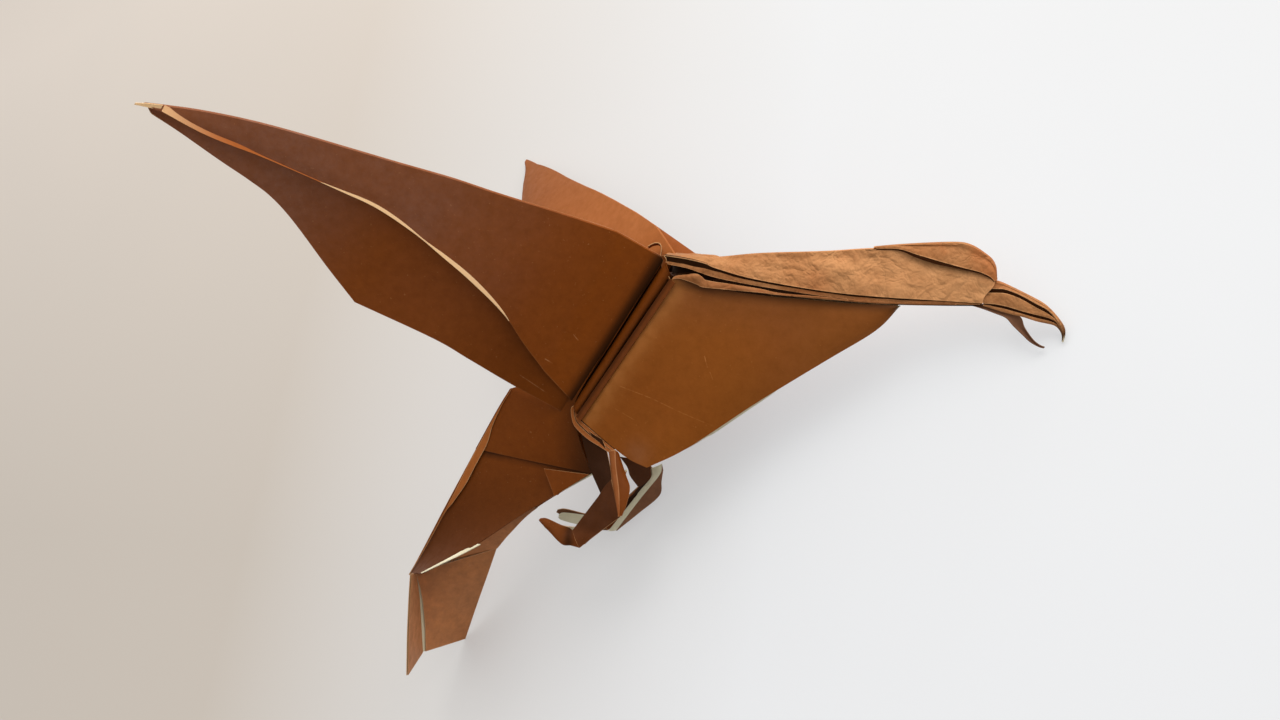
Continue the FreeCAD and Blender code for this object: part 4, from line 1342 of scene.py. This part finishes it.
def floor_material(colour):
    """A pale, matt floor, with painted shade that makes it a little warmer and darker to the left of the
    view.
    """
    n = Nodes("pale_floor")
    separate = n.new("ShaderNodeSeparateXYZ")
    n.put(n.where, separate.inputs["Vector"])
    side = n.range(separate.outputs["X"], -0.20, 0.02)
    far = n.range(separate.outputs["Y"], -0.05, 0.25)
    warm_shade = n.blend(far, tint((203, 194, 184)), tint((226, 216, 206)))
    cool = n.blend(far, tint(colour), tint((233, 234, 235)))
    clouds = n.range(n.noise(9.0, 2.0), 0.3, 0.7)
    pale = n.blend(n.times(clouds, 0.06), n.blend(side, warm_shade, cool), tint((200, 196, 190)))
    shader, output = n.finish(pale, 0.9, clouds, 0.0, 0.0001)
    # For the camera the floor is partly lit evenly, so that it stays pale and the shadow stays soft
    even = n.new("ShaderNodeEmission")
    n.put(pale, even.inputs["Color"])
    seen = n.new("ShaderNodeLightPath").outputs
    through = n.math("MAXIMUM", seen["Is Glossy Ray"], seen["Is Transmission Ray"])
    both = n.new("ShaderNodeMixShader")
    n.put(n.times(n.math("MAXIMUM", seen["Is Camera Ray"], through), 0.5), both.inputs["Fac"])
    n.put(shader.outputs["BSDF"], both.inputs[1])
    n.put(even.outputs["Emission"], both.inputs[2])
    n.put(both.outputs["Shader"], output.inputs["Surface"])
    return n.material


def lay_floor(colour):
    """The square surface that the eagle lies on."""
    mesh = bpy.data.meshes.new("floor")
    corners = [(FLOOR_REACH * x, FLOOR_REACH * y, 0) for x, y in ((-1, -1), (1, -1), (1, 1), (-1, 1))]
    mesh.from_pydata(corners, [], [(0, 1, 2, 3)])
    mesh.materials.append(floor_material(colour))
    floor = bpy.data.objects.new("floor", mesh)
    bpy.context.scene.collection.objects.link(floor)


def stand_camera(settings, middle):
    """The camera, level with the bird as it flies, looks at its middle."""
    turn, lift = settings.azimuth, settings.elevation
    back = Vector((math.sin(turn) * math.cos(lift), -math.cos(turn) * math.cos(lift), math.sin(lift)))
    side = Vector((math.cos(turn), math.sin(turn), 0.0))
    axes = [(TURN @ axis).normalized() for axis in (side, back.cross(side), back)]
    camera = bpy.data.objects.new("camera", bpy.data.cameras.new("camera"))
    camera.data.lens = settings.lens
    camera.data.sensor_width = SENSOR_WIDTH
    camera.data.clip_start = 0.01
    place = Matrix.Translation(middle + axes[2] * settings.distance)
    camera.matrix_world = place @ Matrix(axes).transposed().to_4x4()
    bpy.context.scene.collection.objects.link(camera)
    bpy.context.scene.camera = camera


def hang_key_light(settings, middle):
    """One large soft light above the bird's back."""
    key = bpy.data.objects.new("key", bpy.data.lights.new("key", "AREA"))
    key.data.shape = "DISK"
    key.data.size = KEY_SIZE
    key.data.energy = settings.key
    key.data.color = (1.0, 0.97, 0.93)
    towards = (TURN @ KEY_TOWARDS).normalized()
    key.location = middle + towards * KEY_AWAY
    key.rotation_euler = towards.to_track_quat("Z", "Y").to_euler()
    bpy.context.scene.collection.objects.link(key)


def light_room(settings):
    """Light from all round, stronger from above the bird's back."""
    world = bpy.data.worlds.new("room")
    world.use_nodes = True
    tree = world.node_tree
    shade = tree.nodes["Background"]
    where = tree.nodes.new("ShaderNodeTexCoord")
    above = tree.nodes.new("ShaderNodeVectorMath")
    above.operation = "DOT_PRODUCT"
    above.inputs[1].default_value = TURN @ Vector((0.0, 0.0, 1.0))
    tree.links.new(where.outputs["Generated"], above.inputs[0])
    level = tree.nodes.new("ShaderNodeMapRange")
    level.inputs["From Min"].default_value = -0.6
    level.inputs["From Max"].default_value = 1.0
    level.inputs["To Min"].default_value = settings.fill * 0.15
    level.inputs["To Max"].default_value = settings.fill * 1.7
    tree.links.new(above.outputs["Value"], level.inputs["Value"])
    tree.links.new(level.outputs["Result"], shade.inputs["Strength"])
    shade.inputs["Color"].default_value = (1.0, 0.985, 0.96, 1.0)
    bpy.context.scene.world = world


class EAGLE_OT_stage(bpy.types.Operator):
    """Sets the floor, the lights and the camera"""
    bl_idname = "eagle.stage"
    bl_label = "Stage"
    bl_options = {"REGISTER", "UNDO"}

    def execute(self, context):
        settings = context.scene.origami_eagle
        middle = laid(Vector((0, 0, 0)))
        lay_floor(screen(settings.colours.floor))
        stand_camera(settings.stage, middle)
        hang_key_light(settings.stage, middle)
        light_room(settings.stage)
        context.scene.view_settings.view_transform = "Standard"
        return {"FINISHED"}


OPERATORS = (EAGLE_OT_wings, EAGLE_OT_pleats, EAGLE_OT_chest, EAGLE_OT_neck, EAGLE_OT_head, EAGLE_OT_tail,
             EAGLE_OT_legs, EAGLE_OT_join, EAGLE_OT_stage)


class EAGLE_PT_panel(bpy.types.Panel):
    """The eagle's sizes and buttons"""
    bl_label = "Origami Eagle"
    bl_idname = "EAGLE_PT_panel"
    bl_space_type = "VIEW_3D"
    bl_region_type = "UI"
    bl_category = "Eagle"

    def draw(self, context):
        settings = context.scene.origami_eagle
        for group in (settings.paper, settings.wing, settings.body, settings.colours, settings.stage):
            box = self.layout.box()
            for name in group.bl_rna.properties.keys():
                if name not in ("rna_type", "name"):
                    box.prop(group, name)
        for operator in OPERATORS:
            self.layout.operator(operator.bl_idname)


GROUPS = (EAGLE_PG_paper, EAGLE_PG_wing, EAGLE_PG_body, EAGLE_PG_colours, EAGLE_PG_stage, EAGLE_PG_settings)
CLASSES = GROUPS + OPERATORS + (EAGLE_PT_panel,)


def register():
    """Makes the settings, the operators and the panel known."""
    for item in CLASSES:
        bpy.utils.register_class(item)
    bpy.types.Scene.origami_eagle = PointerProperty(type=EAGLE_PG_settings)


def unregister():
    """Undoes register."""
    del bpy.types.Scene.origami_eagle
    for item in reversed(CLASSES):
        bpy.utils.unregister_class(item)


def main():
    """Folds the eagle and sets its stage."""
    register()
    for operator in OPERATORS:
        group, name = operator.bl_idname.split(".")
        getattr(getattr(bpy.ops, group), name)()
    bpy.context.view_layer.update()


if __name__ == "__main__":
    main()
